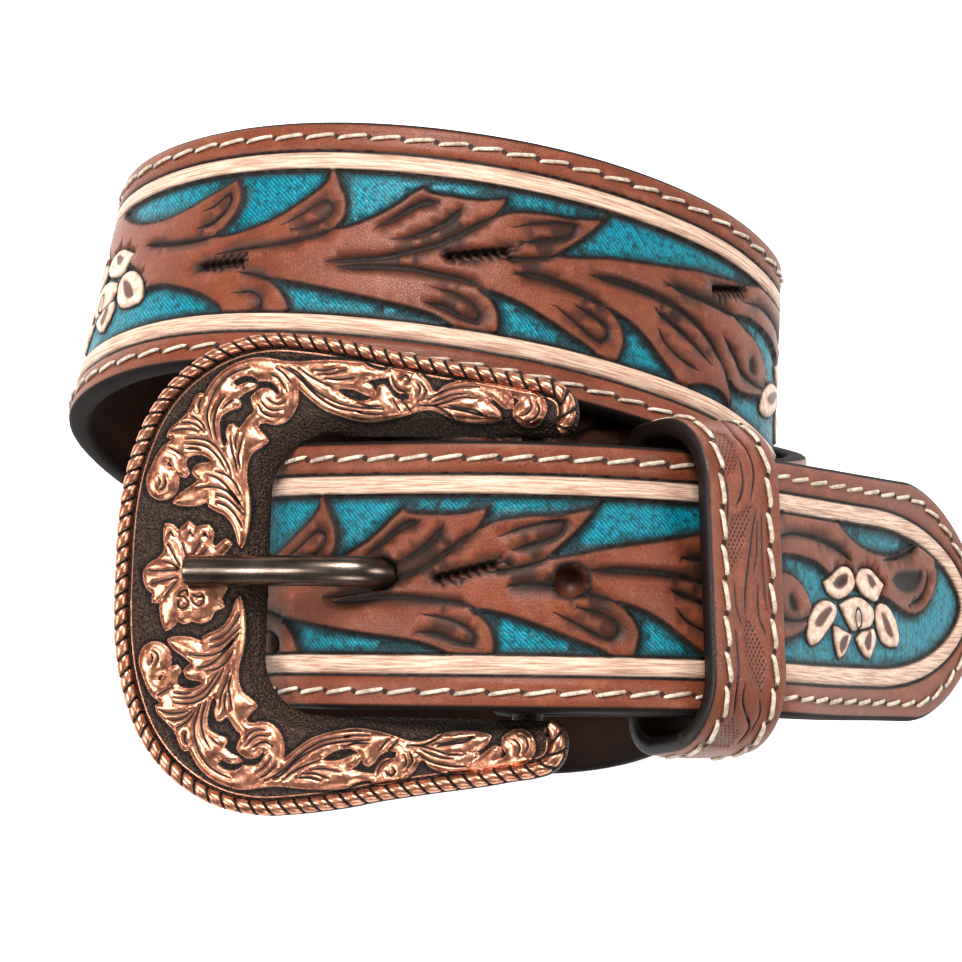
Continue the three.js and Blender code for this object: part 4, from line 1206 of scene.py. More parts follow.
row_lengths = np.arange(TOOLED_FROM + 4, STRAP_LENGTH - TAPER_LENGTH, 1.0)
tip_row = border_line(STITCH_IN + 0.05, STRAP_LENGTH - TAPER_LENGTH - 6, STRAP_LENGTH)[0]
tip_row = tip_row[(tip_row[:, 0] > row_lengths[-1]) & (tip_row[:, 0] < STRAP_LENGTH)]
upper_tip = tip_row[tip_row[:, 1] > 0]
upper_tip = upper_tip[np.argsort(upper_tip[:, 0])]
lower_tip = tip_row[tip_row[:, 1] < 0]
lower_tip = lower_tip[np.argsort(lower_tip[:, 0])]
side_row = STRAP_W / 2 - STITCH_IN
stitch_rows, stitch_out = [], []
for flat in (
    np.vstack([np.stack([row_lengths, np.full(len(row_lengths), side_row)], -1), upper_tip]),
    np.vstack([np.stack([row_lengths, np.full(len(row_lengths), -side_row)], -1), lower_tip]),
):
    stitch_rows.append(on_strap(flat[:, 0], flat[:, 1], thickness(flat[:, 0]) / 2 - 0.10))
    stitch_out.append(unit(along_path(path_out, flat[:, 0])))
strap_stitches = run_row("strap_stitches", stitch_rows, stitch_out, STITCH_PITCH, stitch, thread)
strap_awl_holes = run_row("strap_awl_holes", stitch_rows, stitch_out, STITCH_PITCH, hole, hole_shadow)
for piece in (strap_stitches, strap_awl_holes):
    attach(piece, "root")


# ---------------------------------------------------------------------------
# Keeper: a separate loop of the same leather round the tail and the strap
# under it, stamped with leaves and cross-hatched fields, sewn along both
# edges, its edges painted black.
# ---------------------------------------------------------------------------
KEEPER_TURN = 1119
KEEPER_W = 13.0
KEEPER_T = 2.6
KEEPER_BULGE = 2.3
KEEPER_STAND = 3.1
KEEPER_FIT = 1.5
KEEPER_FRONT_R = 8.0
KEEPER_BACK_R = 3.0
KEEPER_LEAN = math.radians(3.5)
KEEPER_SAG = KEEPER_W**2 / (3 * COIL_R)
KEEPER_EDGE = 0.55
KEEPER_FACE = 27.0

keeper_at = int(np.argmax(path_turn >= KEEPER_TURN))
keeper_axes = np.stack([path_across[keeper_at], path_out[keeper_at], path_along[keeper_at]])
KEEPER_HALF = STRAP_W / 2 + KEEPER_BULGE + KEEPER_T
KEEPER_HIGH = STRAP_T / 2 + KEEPER_STAND + KEEPER_T
KEEPER_LOW = -(STRAP_T / 2 + PLY + PLY_GAP + FOLD_T + KEEPER_FIT + KEEPER_SAG) - KEEPER_T
lean = np.array([[math.cos(KEEPER_LEAN), math.sin(KEEPER_LEAN), 0],
                 [-math.sin(KEEPER_LEAN), math.cos(KEEPER_LEAN), 0], [0, 0, 1]])
keeper_axes = lean @ keeper_axes


def keeper_loop():
    """Points and outward directions round the keeper from its face's middle."""
    points, outs = [(0.0, KEEPER_HIGH)], [(0.0, 1.0)]

    def corner(side, level, radius, start):
        cx = side * (KEEPER_HALF - radius)
        cy = KEEPER_HIGH - radius if level > 0 else KEEPER_LOW + radius
        for a in np.linspace(start, start - math.pi / 2, 13):
            points.append((cx + radius * math.cos(a), cy + radius * math.sin(a)))
            outs.append((math.cos(a), math.sin(a)))

    corner(1, 1, KEEPER_FRONT_R + KEEPER_T, math.pi / 2)
    corner(1, -1, KEEPER_BACK_R + KEEPER_T, 0)
    corner(-1, -1, KEEPER_BACK_R + KEEPER_T, -math.pi / 2)
    corner(-1, 1, KEEPER_FRONT_R + KEEPER_T, -math.pi)
    points.append((0.0, KEEPER_HIGH))
    outs.append((0.0, 1.0))
    return np.array(points), np.array(outs)


loop_points, loop_outs = keeper_loop()
loop_run = np.concatenate([[0], np.cumsum(np.linalg.norm(np.diff(loop_points, axis=0), axis=1))])
LOOP_LENGTH = loop_run[-1]


def on_keeper(run, wide, out):
    """Points on the keeper from the way round it, across its width and outward."""
    run = np.mod(np.asarray(run, float), LOOP_LENGTH)
    p = np.stack([np.interp(run, loop_run, loop_points[:, k]) for k in range(2)], -1)
    n = unit(np.stack([np.interp(run, loop_run, loop_outs[:, k]) for k in range(2)], -1))
    crown = 0.28 * (1 - (np.asarray(wide) / (KEEPER_W / 2)) ** 2)
    p = p + n * (np.asarray(out) + np.where(np.asarray(out) > -1, crown, 0))[:, None]
    local = np.column_stack([p, np.broadcast_to(wide, len(p))])
    return path[keeper_at] + local @ keeper_axes, n @ keeper_axes[:2]


# Round the loop from the face's middle (upwards first), across its width, mm
HATCHED = [
    [(22.5, -3.9), (21.5, -0.9), (19.0, -0.5), (17.0, -0.7), (15.0, -2.0), (13.9, -4.2), (17, -4.0)],
    [(10.4, 0.75), (8.7, 0.5), (5.6, -0.4), (3.3, -1.2), (0.2, -3.1), (2.5, -3.6), (5.6, -3.5),
     (8.4, -2.9), (9.3, -1.0)],
    [(-5.7, -0.9), (-8.0, 0.9), (-11.0, 2.2), (-14.0, 2.2), (-17.3, 1.7), (-15.0, 0.6),
     (-12.0, -0.8), (-8.0, -1.3)],
    [(-19.8, -2.3), (-22.0, -3.5), (-26.0, -3.6), (-26.0, 0.6), (-22.3, 0.0), (-21.0, -1.2)],
]
KEEPER_CUTS = [
    (.20, .14, [(26.5, 1.6), (23.5, 0.9), (21.0, 0.7), (19.5, 1.3), (17.5, 1.7), (14.9, 1.7),
                (11.2, 0.9)]),
    (.12, .24, [(17.1, -0.4), (14.9, -0.4), (13.3, -0.4), (11.8, -0.8), (10.4, -1.6)]),
    (.16, .12, [(13.8, -3.4), (11.8, -3.2), (9.0, -3.3), (6.0, -3.8), (2.0, -3.9)]),
    (.14, .20, [(9.6, 1.7), (7.2, 1.1), (4.8, 0.6), (2.5, 0.1), (-2.0, -0.7), (-4.9, -0.9)]),
    (.12, .20, [(-0.7, 1.6), (-3.0, 1.5), (-5.6, 1.6), (-7.7, 2.6)]),
    (.16, .18, [(-7.7, -2.7), (-12.5, -2.4), (-16.4, -2.6), (-19.5, -2.2)]),
    (.12, .22, [(-15.2, -1.3), (-17.2, -1.3), (-18.7, -0.6), (-20.9, 1.2)]),
    (.10, .16, [(-17.3, 1.7), (-19.2, 2.4), (-22.0, 2.2)]),
    (.10, .14, [(9.0, 2.8), (4.0, 2.6), (0.0, 2.7), (-4.0, 3.0)]),
    (.10, .10, [(8.0, 1.9), (3.0, 1.5), (1.0, 1.0)]),
    (.10, .12, [(-1.0, -2.6), (-4.0, -2.5), (-6.5, -1.8)]),
    (.22, .20, [(-20.0, 0.6), (-21.8, 1.6), (-24.5, 1.4)]),
]
KEEPER_ROW = 4.15


def fitted_sheet(outline, lines, inner, grid, clear_by):
    """Triangles over an outline, with every line of the drawing in their edges."""
    points, edges = [], []
    kept = [outline]
    for line, closed in [(outline, True)] + lines:
        start = len(points)
        n = len(line)
        points += [tuple(q) for q in line]
        keep = np.ones(n, bool) if line is outline else inner(line)
        for i in range(n if closed else n - 1):
            if keep[i] or keep[(i + 1) % n]:
                edges.append((start + i, start + (i + 1) % n))
        kept.append(line[keep])
    clear = clear_of(grid, np.vstack(kept), clear_by)
    points += [tuple(q) for q in grid[clear & inner(grid)]]
    return joined_up(points, edges, lambda middle: inside(middle, outline))


def each_near(p, line, reach):
    """Which points lie within reach of a line's box."""
    low, high = line.min(0) - reach, line.max(0) + reach
    return np.flatnonzero(np.all((p > low) & (p < high), axis=1))


def keeper_mesh():
    wide = KEEPER_W / 2 - KEEPER_EDGE
    face_runs = np.linspace(-KEEPER_FACE, KEEPER_FACE, 73)
    columns = np.linspace(-wide, wide, 13)
    outline = np.vstack([
        np.stack([face_runs, np.full(73, -wide)], -1),
        np.stack([np.full(11, KEEPER_FACE), columns[1:-1]], -1),
        np.stack([face_runs[::-1], np.full(73, wide)], -1),
        np.stack([np.full(11, -KEEPER_FACE), columns[::-1][1:-1]], -1)])
    lines, cuts = [], []
    for w0, w1, shape in KEEPER_CUTS:
        line = smooth_line(shape, 0.4, False)
        share = np.linspace(0, 1, len(line))
        width = (w0 + (w1 - w0) * share) * np.minimum(np.minimum(share, 1 - share) * 6 + 0.3, 1)
        cuts.append((line, width))
        lines += [(line, False), (shifted(line, width + 0.1, False), False),
                  (shifted(line, -width - 0.1, False), False)]
    fields = [counter_clockwise(smooth_line(shape, 0.5, True)) for shape in HATCHED]
    for field in fields:
        lines += [(field, True), (shifted(field, 0.3, True), True)]
    run = np.arange(-KEEPER_FACE + 0.8, KEEPER_FACE - 0.4, 0.8)
    for row in (-KEEPER_ROW - 0.7, -KEEPER_ROW, -KEEPER_ROW + 0.7, KEEPER_ROW - 0.7, KEEPER_ROW,
                KEEPER_ROW + 0.7):
        lines.append((np.stack([run, np.full(len(run), row)], -1), False))

    def inner(p):
        return (np.abs(p[:, 0]) < KEEPER_FACE - 0.05) & (np.abs(p[:, 1]) < wide - 0.05)

    grid = np.meshgrid(np.arange(-26.5, 26.6, 0.8), np.arange(-5.3, 5.4, 0.7))
    grid = np.stack(grid, -1).reshape(-1, 2)
    flat, tris = fitted_sheet(outline, lines, inner, grid, 0.3)
    out = -0.16 * np.exp(-((np.abs(flat[:, 1]) - KEEPER_ROW) / 0.5) ** 2)
    dark = np.zeros(len(flat))
    hatch = np.zeros(len(flat))
    for line, width in cuts:
        near = each_near(flat, line, 1.2)
        d, w = distance(flat[near], line, False, width)
        out[near] -= 0.35 * np.clip(1 - d / (w + 0.1), 0, 1)
        dark[near] = np.maximum(dark[near], np.clip(1.15 - d / (w + 0.05), 0, 1))
    for field in fields:
        near = each_near(flat, field, 0.5)
        d = depth_in(flat[near], field)
        hatch[near] = np.maximum(hatch[near], np.clip(0.5 + d / 0.3, 0, 1))
        out[near] -= 0.15 * smoothstep(0, 0.3, d)
    back_runs = np.linspace(KEEPER_FACE, LOOP_LENGTH - KEEPER_FACE, 61)
    all_runs = np.concatenate([face_runs, back_runs[1:-1]])
    rings = len(all_runs)
    e = KEEPER_EDGE
    section = [(wide, 0.0, 0.0), (wide + 0.6 * e, -0.12 * e, 0.7), (wide + e, -0.6 * e, 1.0),
               (wide + e, -KEEPER_T + 0.5 * e, 1.0), (wide + 0.4 * e, -KEEPER_T, 1.2),
               (0.0, -KEEPER_T, 2.0), (-wide - 0.4 * e, -KEEPER_T, 1.2),
               (-wide - e, -KEEPER_T + 0.5 * e, 1.0), (-wide - e, -0.6 * e, 1.0),
               (-wide - 0.6 * e, -0.12 * e, 0.7), (-wide, 0.0, 0.0)]
    points = [on_keeper(flat[:, 0], flat[:, 1], out * (np.abs(flat[:, 1]) < wide - 0.01))[0]]
    uvs, sides, faces = [flat], [np.zeros(len(flat))], [tuple(t) for t in tris.tolist()]
    base = len(flat)
    m = len(section)
    for w, depth, side in section:
        points.append(on_keeper(all_runs, w, np.full(rings, depth))[0])
        uvs.append(np.stack([all_runs, np.full(rings, w)], -1))
        sides.append(np.full(rings, side))
    faces += tube_faces(base, m, rings)
    base += m * rings
    back = len(back_runs)
    for w in columns:
        points.append(on_keeper(back_runs, w, np.zeros(back))[0])
        uvs.append(np.stack([back_runs, np.full(back, w)], -1))
        sides.append(np.zeros(back))
    for k in range(len(columns) - 1):
        for i in range(back - 1):
            faces.append((base + k * back + i, base + k * back + i + 1,
                          base + (k + 1) * back + i + 1, base + (k + 1) * back + i))
    rest = sum(map(len, points)) - len(flat)
    made = link_mesh("keeper_loop", np.vstack(points), faces)
    finish_shell(made, {"dark": np.concatenate([dark, np.zeros(rest)]),
                        "hatch": np.concatenate([hatch, np.zeros(rest)]),
                        "side": np.concatenate(sides)}, np.vstack(uvs) / 10)
    return made


def keeper_material():
    material, tree, surface = new_material("tooled_keeper_leather")
    uv = put(tree, "ShaderNodeUVMap", uv_map="flat_cm").outputs[0]
    dark = layer(tree, "dark")
    hatch = layer(tree, "hatch")
    side = layer(tree, "side")
    g = grain(tree, uv, 1.0)
    brown = saddle_brown(tree, uv, g)
    flat = put(tree, "ShaderNodeSeparateXYZ", {0: uv}).outputs
    first = calc(tree, "SINE", calc(tree, "ADD", calc(tree, "MULTIPLY", flat[0], 52.0),
                                    calc(tree, "MULTIPLY", flat[1], 88.0)))
    second = calc(tree, "SINE", calc(tree, "SUBTRACT", calc(tree, "MULTIPLY", flat[0], 52.0),
                                     calc(tree, "MULTIPLY", flat[1], 88.0)))
    pits = calc(tree, "MULTIPLY", ramp(tree, first, -0.35, 0.45), ramp(tree, second, -0.35, 0.45))
    pits = calc(tree, "MULTIPLY", pits, hatch)
    colour = mix_colour(tree, calc(tree, "MULTIPLY", pits, 0.95), brown, ANTIQUING_AND_SHADE)
    colour = mix_colour(tree, ramp(tree, dark, 0.05, 0.7), colour, ANTIQUING_AND_SHADE)
    colour = mix_colour(tree, ramp(tree, side, 0.15, 0.75), colour, ANTIQUING_AND_SHADE)
    back = mix_colour(tree, ramp(tree, g["Blotch"], 0.3, 0.7), ROUGH_BACK, ROUGH_BACK_WORN)
    colour = mix_colour(tree, ramp(tree, side, 1.1, 1.6), colour, back)
    tree.links.new(colour, surface.inputs["Base Color"])
    tree.links.new(calc(tree, "ADD", calc(tree, "MULTIPLY", g["Blotch"], 0.3), 0.26),
                   surface.inputs["Roughness"])
    height = calc(tree, "SUBTRACT", calc(tree, "MULTIPLY", g["Height"], 0.25), pits)
    bump = put(tree, "ShaderNodeBump", {"Strength": 0.6, "Distance": 0.00022, "Height": height})
    tree.links.new(bump.outputs[0], surface.inputs["Normal"])
    return material


keeper = keeper_mesh()
keeper.data.materials.append(keeper_material())
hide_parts("keeper")
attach(keeper, "root")
keeper_runs = np.arange(-KEEPER_FACE - 6, KEEPER_FACE + 6, 0.5)
keeper_rows = [on_keeper(keeper_runs[::sign], sign * KEEPER_ROW, np.full(len(keeper_runs), -0.1))
               for sign in (1, -1)]
thick_stitch = thread_stitch("one_keeper_stitch", THREAD_R * 1.2)
keeper_stitches = run_row("keeper_stitches", [r[0] for r in keeper_rows], [r[1] for r in keeper_rows],
                          STITCH_PITCH * 0.97, thick_stitch, thread)
keeper_awl_holes = run_row("keeper_awl_holes", [r[0] for r in keeper_rows], [r[1] for r in keeper_rows],
                           STITCH_PITCH * 0.97, hole, hole_shadow)
for piece in (keeper_stitches, keeper_awl_holes):
    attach(piece, "root")
for sample in (stitch, thick_stitch, hole):
    bpy.data.objects.remove(sample)


# ---------------------------------------------------------------------------
# Buckle frame: a zinc casting plated with antique copper. Raised scrolling
# leaves shine on a dark matted ground inside a rope-twist rim; a flower sits
# under the prong's end, and a bar between two lugs holds the strap.
# ---------------------------------------------------------------------------
FRAME_T = 3.2
FRAME_TILT = 12.0
FRAME_YAW = -2.0
FACE_OVER_BAR = 8.3
FRAME_BASE = FACE_OVER_BAR - FRAME_T
OPENING_HALF = STRAP_W / 2 + 1.0
OPENING_END = 37.5
OPENING_R = 8.5
WALL_SLOPE = 2.6
WALL_DROP = 2.4
ROPE_R = 1.0
LUG_L, LUG_W = 5.0, 4.4
CAST = 40.0

buckle_turn = (Matrix.Rotation(math.radians(FRAME_YAW + 180), 3, "Z")
               @ Matrix.Rotation(math.radians(FRAME_TILT), 3, "Y"))
BUCKLE_AXES = np.array(buckle_turn)
BUCKLE_AT = np.array([bar_x, BAR_SIDE, bar_z])


def on_buckle(p):
    """World points from the buckle's own axes: along, to the side, out of the face."""
    return np.asarray(p, float) @ BUCKLE_AXES.T + BUCKLE_AT


# The rim's outer edge from an arm's end to the far end: along, to the side
RIM_EDGE = [
    (-5.2, 20.05), (-6.4, 20.9), (-7.0, 22.5), (-7.0, 24.3), (-6.4, 26.0), (-4.9, 27.4), (-2.0, 28.3),
    (0.5, 28.7), (4.5, 29.5), (12, 30.7), (19.5, 32.0), (24, 33.0), (29.5, 33.9), (33, 34.3),
    (35.5, 34.5), (38, 34.45), (40.5, 34.1), (43, 33.45), (46, 32.2), (49, 30.3), (51.5, 28.2),
    (53.75, 25.6), (55.75, 22.3), (57, 19.3), (58, 16.2), (58.75, 12.8), (59.25, 9), (59.5, 4.5)]

# The casting drawn 40 times its size, one half; the sheet's left edge is the
# far end of the frame and its lower edge the middle line.
COPPER = [
    [(1520, 248), (1440, 236), (1350, 230), (1250, 232), (1150, 240), (1060, 238), (1000, 228),
     (930, 218), (870, 220), (810, 236), (745, 262), (690, 300), (642, 350), (612, 400), (592, 436),
     (560, 425), (546, 440), (530, 475), (500, 535), (455, 580), (400, 632), (385, 660), (430, 662),
     (405, 700), (360, 735), (330, 780), (300, 850), (280, 900), (280, 950), (298, 990), (335, 1015),
     (385, 1012), (425, 985), (440, 940), (436, 895), (415, 865), (380, 850), (362, 830), (375, 800),
     (405, 792), (425, 830), (455, 870), (490, 888), (502, 870), (482, 840), (480, 800), (500, 770),
     (560, 752), (620, 765), (672, 800), (640, 824), (590, 832), (560, 842), (545, 870), (590, 908),
     (575, 930), (530, 965), (480, 1000), (440, 1042), (500, 1050), (570, 1045), (620, 1027),
     (645, 1012), (650, 1058), (690, 1078), (740, 1100), (790, 1150), (820, 1215), (840, 1290),
     (862, 1190), (868, 1100), (862, 1000), (842, 900), (846, 810), (875, 745), (930, 705),
     (962, 680), (925, 645), (895, 605), (915, 570), (960, 565), (1010, 575), (1065, 560),
     (1108, 510), (1128, 450), (1128, 385), (1150, 365), (1195, 405), (1250, 450), (1310, 490),
     (1380, 515), (1450, 535), (1520, 548), (1600, 548), (1700, 530), (1780, 512), (1840, 492),
     (1920, 482), (1990, 500), (2050, 530), (2140, 548), (2250, 548), (2325, 535), (2300, 500),
     (2250, 465), (2190, 452), (2262, 430), (2205, 382), (2260, 396), (2320, 440), (2362, 472),
     (2386, 470), (2385, 440), (2368, 402), (2395, 398), (2445, 425), (2452, 448), (2420, 485),
     (2420, 530), (2460, 565), (2520, 565), (2562, 530), (2580, 475), (2550, 420), (2490, 388),
     (2400, 368), (2300, 352), (2200, 345), (2100, 345), (2010, 368), (1960, 408), (1922, 402),
     (1890, 345), (1850, 310), (1800, 285), (1740, 270), (1690, 268), (1650, 290), (1570, 275),
     (1520, 250)],
]
SUNK = [
    [(752, 345), (772, 328), (810, 310), (850, 308), (885, 320), (905, 342), (940, 338), (985, 345),
     (1015, 370), (1034, 405), (1018, 418), (990, 392), (960, 380), (925, 380), (890, 400),
     (862, 430), (870, 470), (885, 500), (878, 522), (850, 545), (820, 590), (800, 612), (780, 600),
     (765, 584), (738, 592), (722, 640), (734, 690), (722, 720), (704, 706), (690, 650), (683, 590),
     (692, 550), (718, 525), (762, 505), (803, 492), (805, 465), (790, 440), (830, 408), (878, 386),
     (902, 362), (880, 352), (830, 348), (778, 370)],
    [(1370, 385), (1400, 378), (1470, 385), (1560, 420), (1600, 410), (1575, 360), (1540, 335),
     (1600, 320), (1670, 312), (1690, 360), (1730, 398), (1795, 405), (1795, 438), (1745, 440),
     (1700, 415), (1668, 372), (1640, 350), (1612, 362), (1585, 420), (1520, 450), (1430, 430)],
]
ENGRAVED = [
    [(840, 265), (780, 285), (720, 320), (670, 375), (640, 430), (620, 500), (615, 560), (630, 620),
     (648, 680)],
    [(715, 430), (675, 490), (655, 560), (657, 620), (677, 690)],
    [(765, 450), (730, 475), (705, 500)],
    [(505, 540), (550, 562), (590, 595), (612, 635)],
    [(460, 585), (510, 585), (560, 605), (600, 640)],
    [(400, 640), (450, 625), (520, 625), (572, 637)],
    [(495, 680), (560, 678), (620, 690), (670, 720), (710, 770), (750, 830), (775, 890)],
    [(495, 712), (550, 710), (610, 722), (655, 750), (700, 800), (742, 862)],
    [(495, 738), (540, 736), (582, 745)],
    [(385, 725), (430, 748), (470, 772)],
    [(755, 668), (765, 735), (790, 800), (805, 870)],
    [(790, 655), (787, 700), (797, 745)],
    [(832, 655), (820, 720), (808, 780), (820, 840)],
    [(620, 882), (680, 900), (740, 942), (790, 998), (826, 1042)],
    [(680, 868), (740, 885), (790, 925), (826, 985)],
    [(570, 962), (640, 955), (700, 960), (760, 985), (810, 1030), (850, 1082)],
    [(690, 1003), (750, 1020), (800, 1060), (851, 1112)],
    [(690, 1045), (750, 1065), (805, 1115), (855, 1195)],
    [(340, 905), (352, 930), (343, 957)],
    [(372, 900), (386, 935), (372, 965), (345, 978)],
    [(915, 485), (940, 520), (980, 542), (1025, 545)],
    [(930, 455), (960, 490), (1000, 510), (1052, 506)],
    [(962, 438), (1000, 465), (1045, 472), (1072, 455)],
    [(985, 305), (1020, 320), (1050, 355), (1075, 392)],
    [(1010, 268), (1050, 290), (1080, 320), (1100, 345)],
    [(1045, 258), (1110, 290), (1170, 340), (1230, 400), (1300, 452), (1380, 492), (1520, 515)],
    [(1085, 262), (1140, 290), (1200, 350), (1260, 402), (1330, 440), (1400, 470), (1520, 490),
     (1640, 500)],
    [(1150, 265), (1210, 310), (1280, 345), (1350, 375)],
    [(1230, 275), (1300, 278), (1370, 262)],
    [(1270, 300), (1340, 300), (1415, 275)],
    [(1310, 325), (1390, 330), (1482, 318)],
    [(1500, 462), (1560, 478), (1640, 480)],
    [(1500, 515), (1560, 525), (1640, 527)],
    [(1700, 440), (1725, 475), (1752, 512)],
    [(1750, 445), (1780, 470), (1805, 502)],
    [(1690, 310), (1720, 370), (1772, 398)],
    [(1745, 320), (1775, 300), (1802, 325), (1780, 352)],
    [(1840, 345), (1862, 380), (1850, 422)],
    [(1870, 350), (1898, 390), (1880, 440)],
    [(1865, 475), (1940, 475), (2000, 500), (2060, 545)],
    [(1920, 435), (1960, 410), (2020, 382), (2120, 365), (2205, 366)],
    [(1940, 455), (2000, 430), (2060, 412), (2130, 405)],
    [(1960, 470), (2020, 455), (2100, 430), (2182, 430)],
    [(2010, 485), (2100, 500), (2180, 518), (2240, 535)],
    [(2040, 475), (2120, 488), (2200, 505), (2232, 530)],
    [(2500, 440), (2512, 480), (2488, 515), (2460, 527)],
    [(2540, 450), (2556, 490), (2540, 530), (2500, 555)],
]
DEEP_CUTS = [[(576, 440), (560, 480), (566, 518)]]
# The flower, drawn over both halves: the middle line is at 1440
CAST_FLOWER = [
    (285, 1440), (282, 1400), (300, 1352), (345, 1312), (335, 1265), (392, 1278), (388, 1220),
    (400, 1160), (420, 1110), (452, 1135), (478, 1180), (520, 1152), (570, 1168), (620, 1158),
    (665, 1175), (690, 1222), (742, 1245), (724, 1290), (750, 1340), (775, 1440), (770, 1520),
    (745, 1500), (720, 1540), (772, 1600), (748, 1615), (690, 1562), (655, 1600), (662, 1660),
    (640, 1695), (600, 1688), (565, 1680), (526, 1714), (492, 1680), (470, 1640), (432, 1690),
    (392, 1700), (394, 1620), (402, 1560), (360, 1500), (322, 1480)]
FLOWER_CUTS = [
    [(408, 1290), (440, 1330), (472, 1372)], [(320, 1360), (400, 1380), (480, 1402)],
    [(300, 1440), (390, 1438), (480, 1446)], [(388, 1495), (440, 1480), (482, 1452)],
    [(410, 1590), (450, 1530), (490, 1470)], [(500, 1592), (528, 1525), (545, 1482)],
    [(602, 1600), (575, 1550), (560, 1500)], [(642, 1560), (600, 1510), (580, 1480)],
    [(492, 1262), (490, 1232), (515, 1222), (545, 1235), (552, 1262), (520, 1292), (482, 1290),
     (500, 1318), (540, 1330), (545, 1300)],
    [(570, 1282), (580, 1255), (612, 1238), (642, 1260), (640, 1302), (605, 1290), (580, 1300)],
    [(440, 1640), (425, 1665), (405, 1640)], [(520, 1640), (540, 1665), (560, 1640)],
    [(620, 1640), (628, 1662), (640, 1640)]]


def cast(points, sign):
    p = np.array(points, float) / CAST
    return np.stack([62.0 - p[:, 0], sign * (36.0 - p[:, 1])], -1)


def casting_outline(step):
    half = smooth_line(RIM_EDGE, step, False)
    outer = np.vstack([half, (half * [1, -1])[::-1]])
    corner = OPENING_HALF - OPENING_R
    arcs = []
    for sign in (-1, 1):
        turn_by = np.linspace(0, math.pi / 2, 28)
        x = OPENING_END - OPENING_R + OPENING_R * np.sin(turn_by if sign < 0 else turn_by[::-1])
        y = sign * (corner + OPENING_R * np.cos(turn_by if sign < 0 else turn_by[::-1]))
        arcs.append(np.stack([x, y], -1))
    straight = np.arange(-5.2 + step, OPENING_END - OPENING_R, step)
    low_side = np.stack([straight, np.full(len(straight), -OPENING_HALF)], -1)
    far_steps = np.arange(-corner + step, corner, step)
    far_side = np.stack([np.full(len(far_steps), OPENING_END), far_steps], -1)
    inner = np.vstack([low_side, arcs[0], far_side, arcs[1], (low_side * [1, -1])[::-1]])
    return outer, inner


rim_outer, opening_edge = casting_outline(0.5)


def raised_shapes():
    copper, sunk, cuts = [], [], []
    for sign in (1, -1):
        copper += [counter_clockwise(smooth_line(cast(s, sign), 0.35, True)) for s in COPPER]
        sunk += [counter_clockwise(smooth_line(cast(s, sign), 0.35, True)) for s in SUNK]
        for width, group in ((0.19, ENGRAVED), (0.30, DEEP_CUTS)):
            for s in group:
                line = smooth_line(cast(s, sign), 0.4, False)
                share = np.linspace(0, 1, len(line))
                cuts.append((line, width * np.minimum(np.minimum(share, 1 - share) * 5 + 0.35, 1)))
    copper.append(counter_clockwise(smooth_line(cast(CAST_FLOWER, 1), 0.35, True)))
    for s in FLOWER_CUTS:
        line = smooth_line(cast(s, 1), 0.4, False)
        cuts.append((line, np.full(len(line), 0.17)))
    return copper, sunk, cuts


PRONG_PATH = np.array([(0.052, 0.10), (0.11, 0.30), (0.19, 0.50), (0.260, 0.80), (0.299, 1.10),
                       (0.317, 1.325), (0.346, 1.475), (0.388, 1.53), (0.473, 1.51), (0.553, 1.38),
                       (0.640, 1.25), (0.735, 1.18)])
FRAME_L = 65.6
PRONG_R = 2.2
COPPER_SPREAD = 0.4
prong_line = smooth_line(PRONG_PATH * [FRAME_L, FACE_OVER_BAR], 0.8, False)


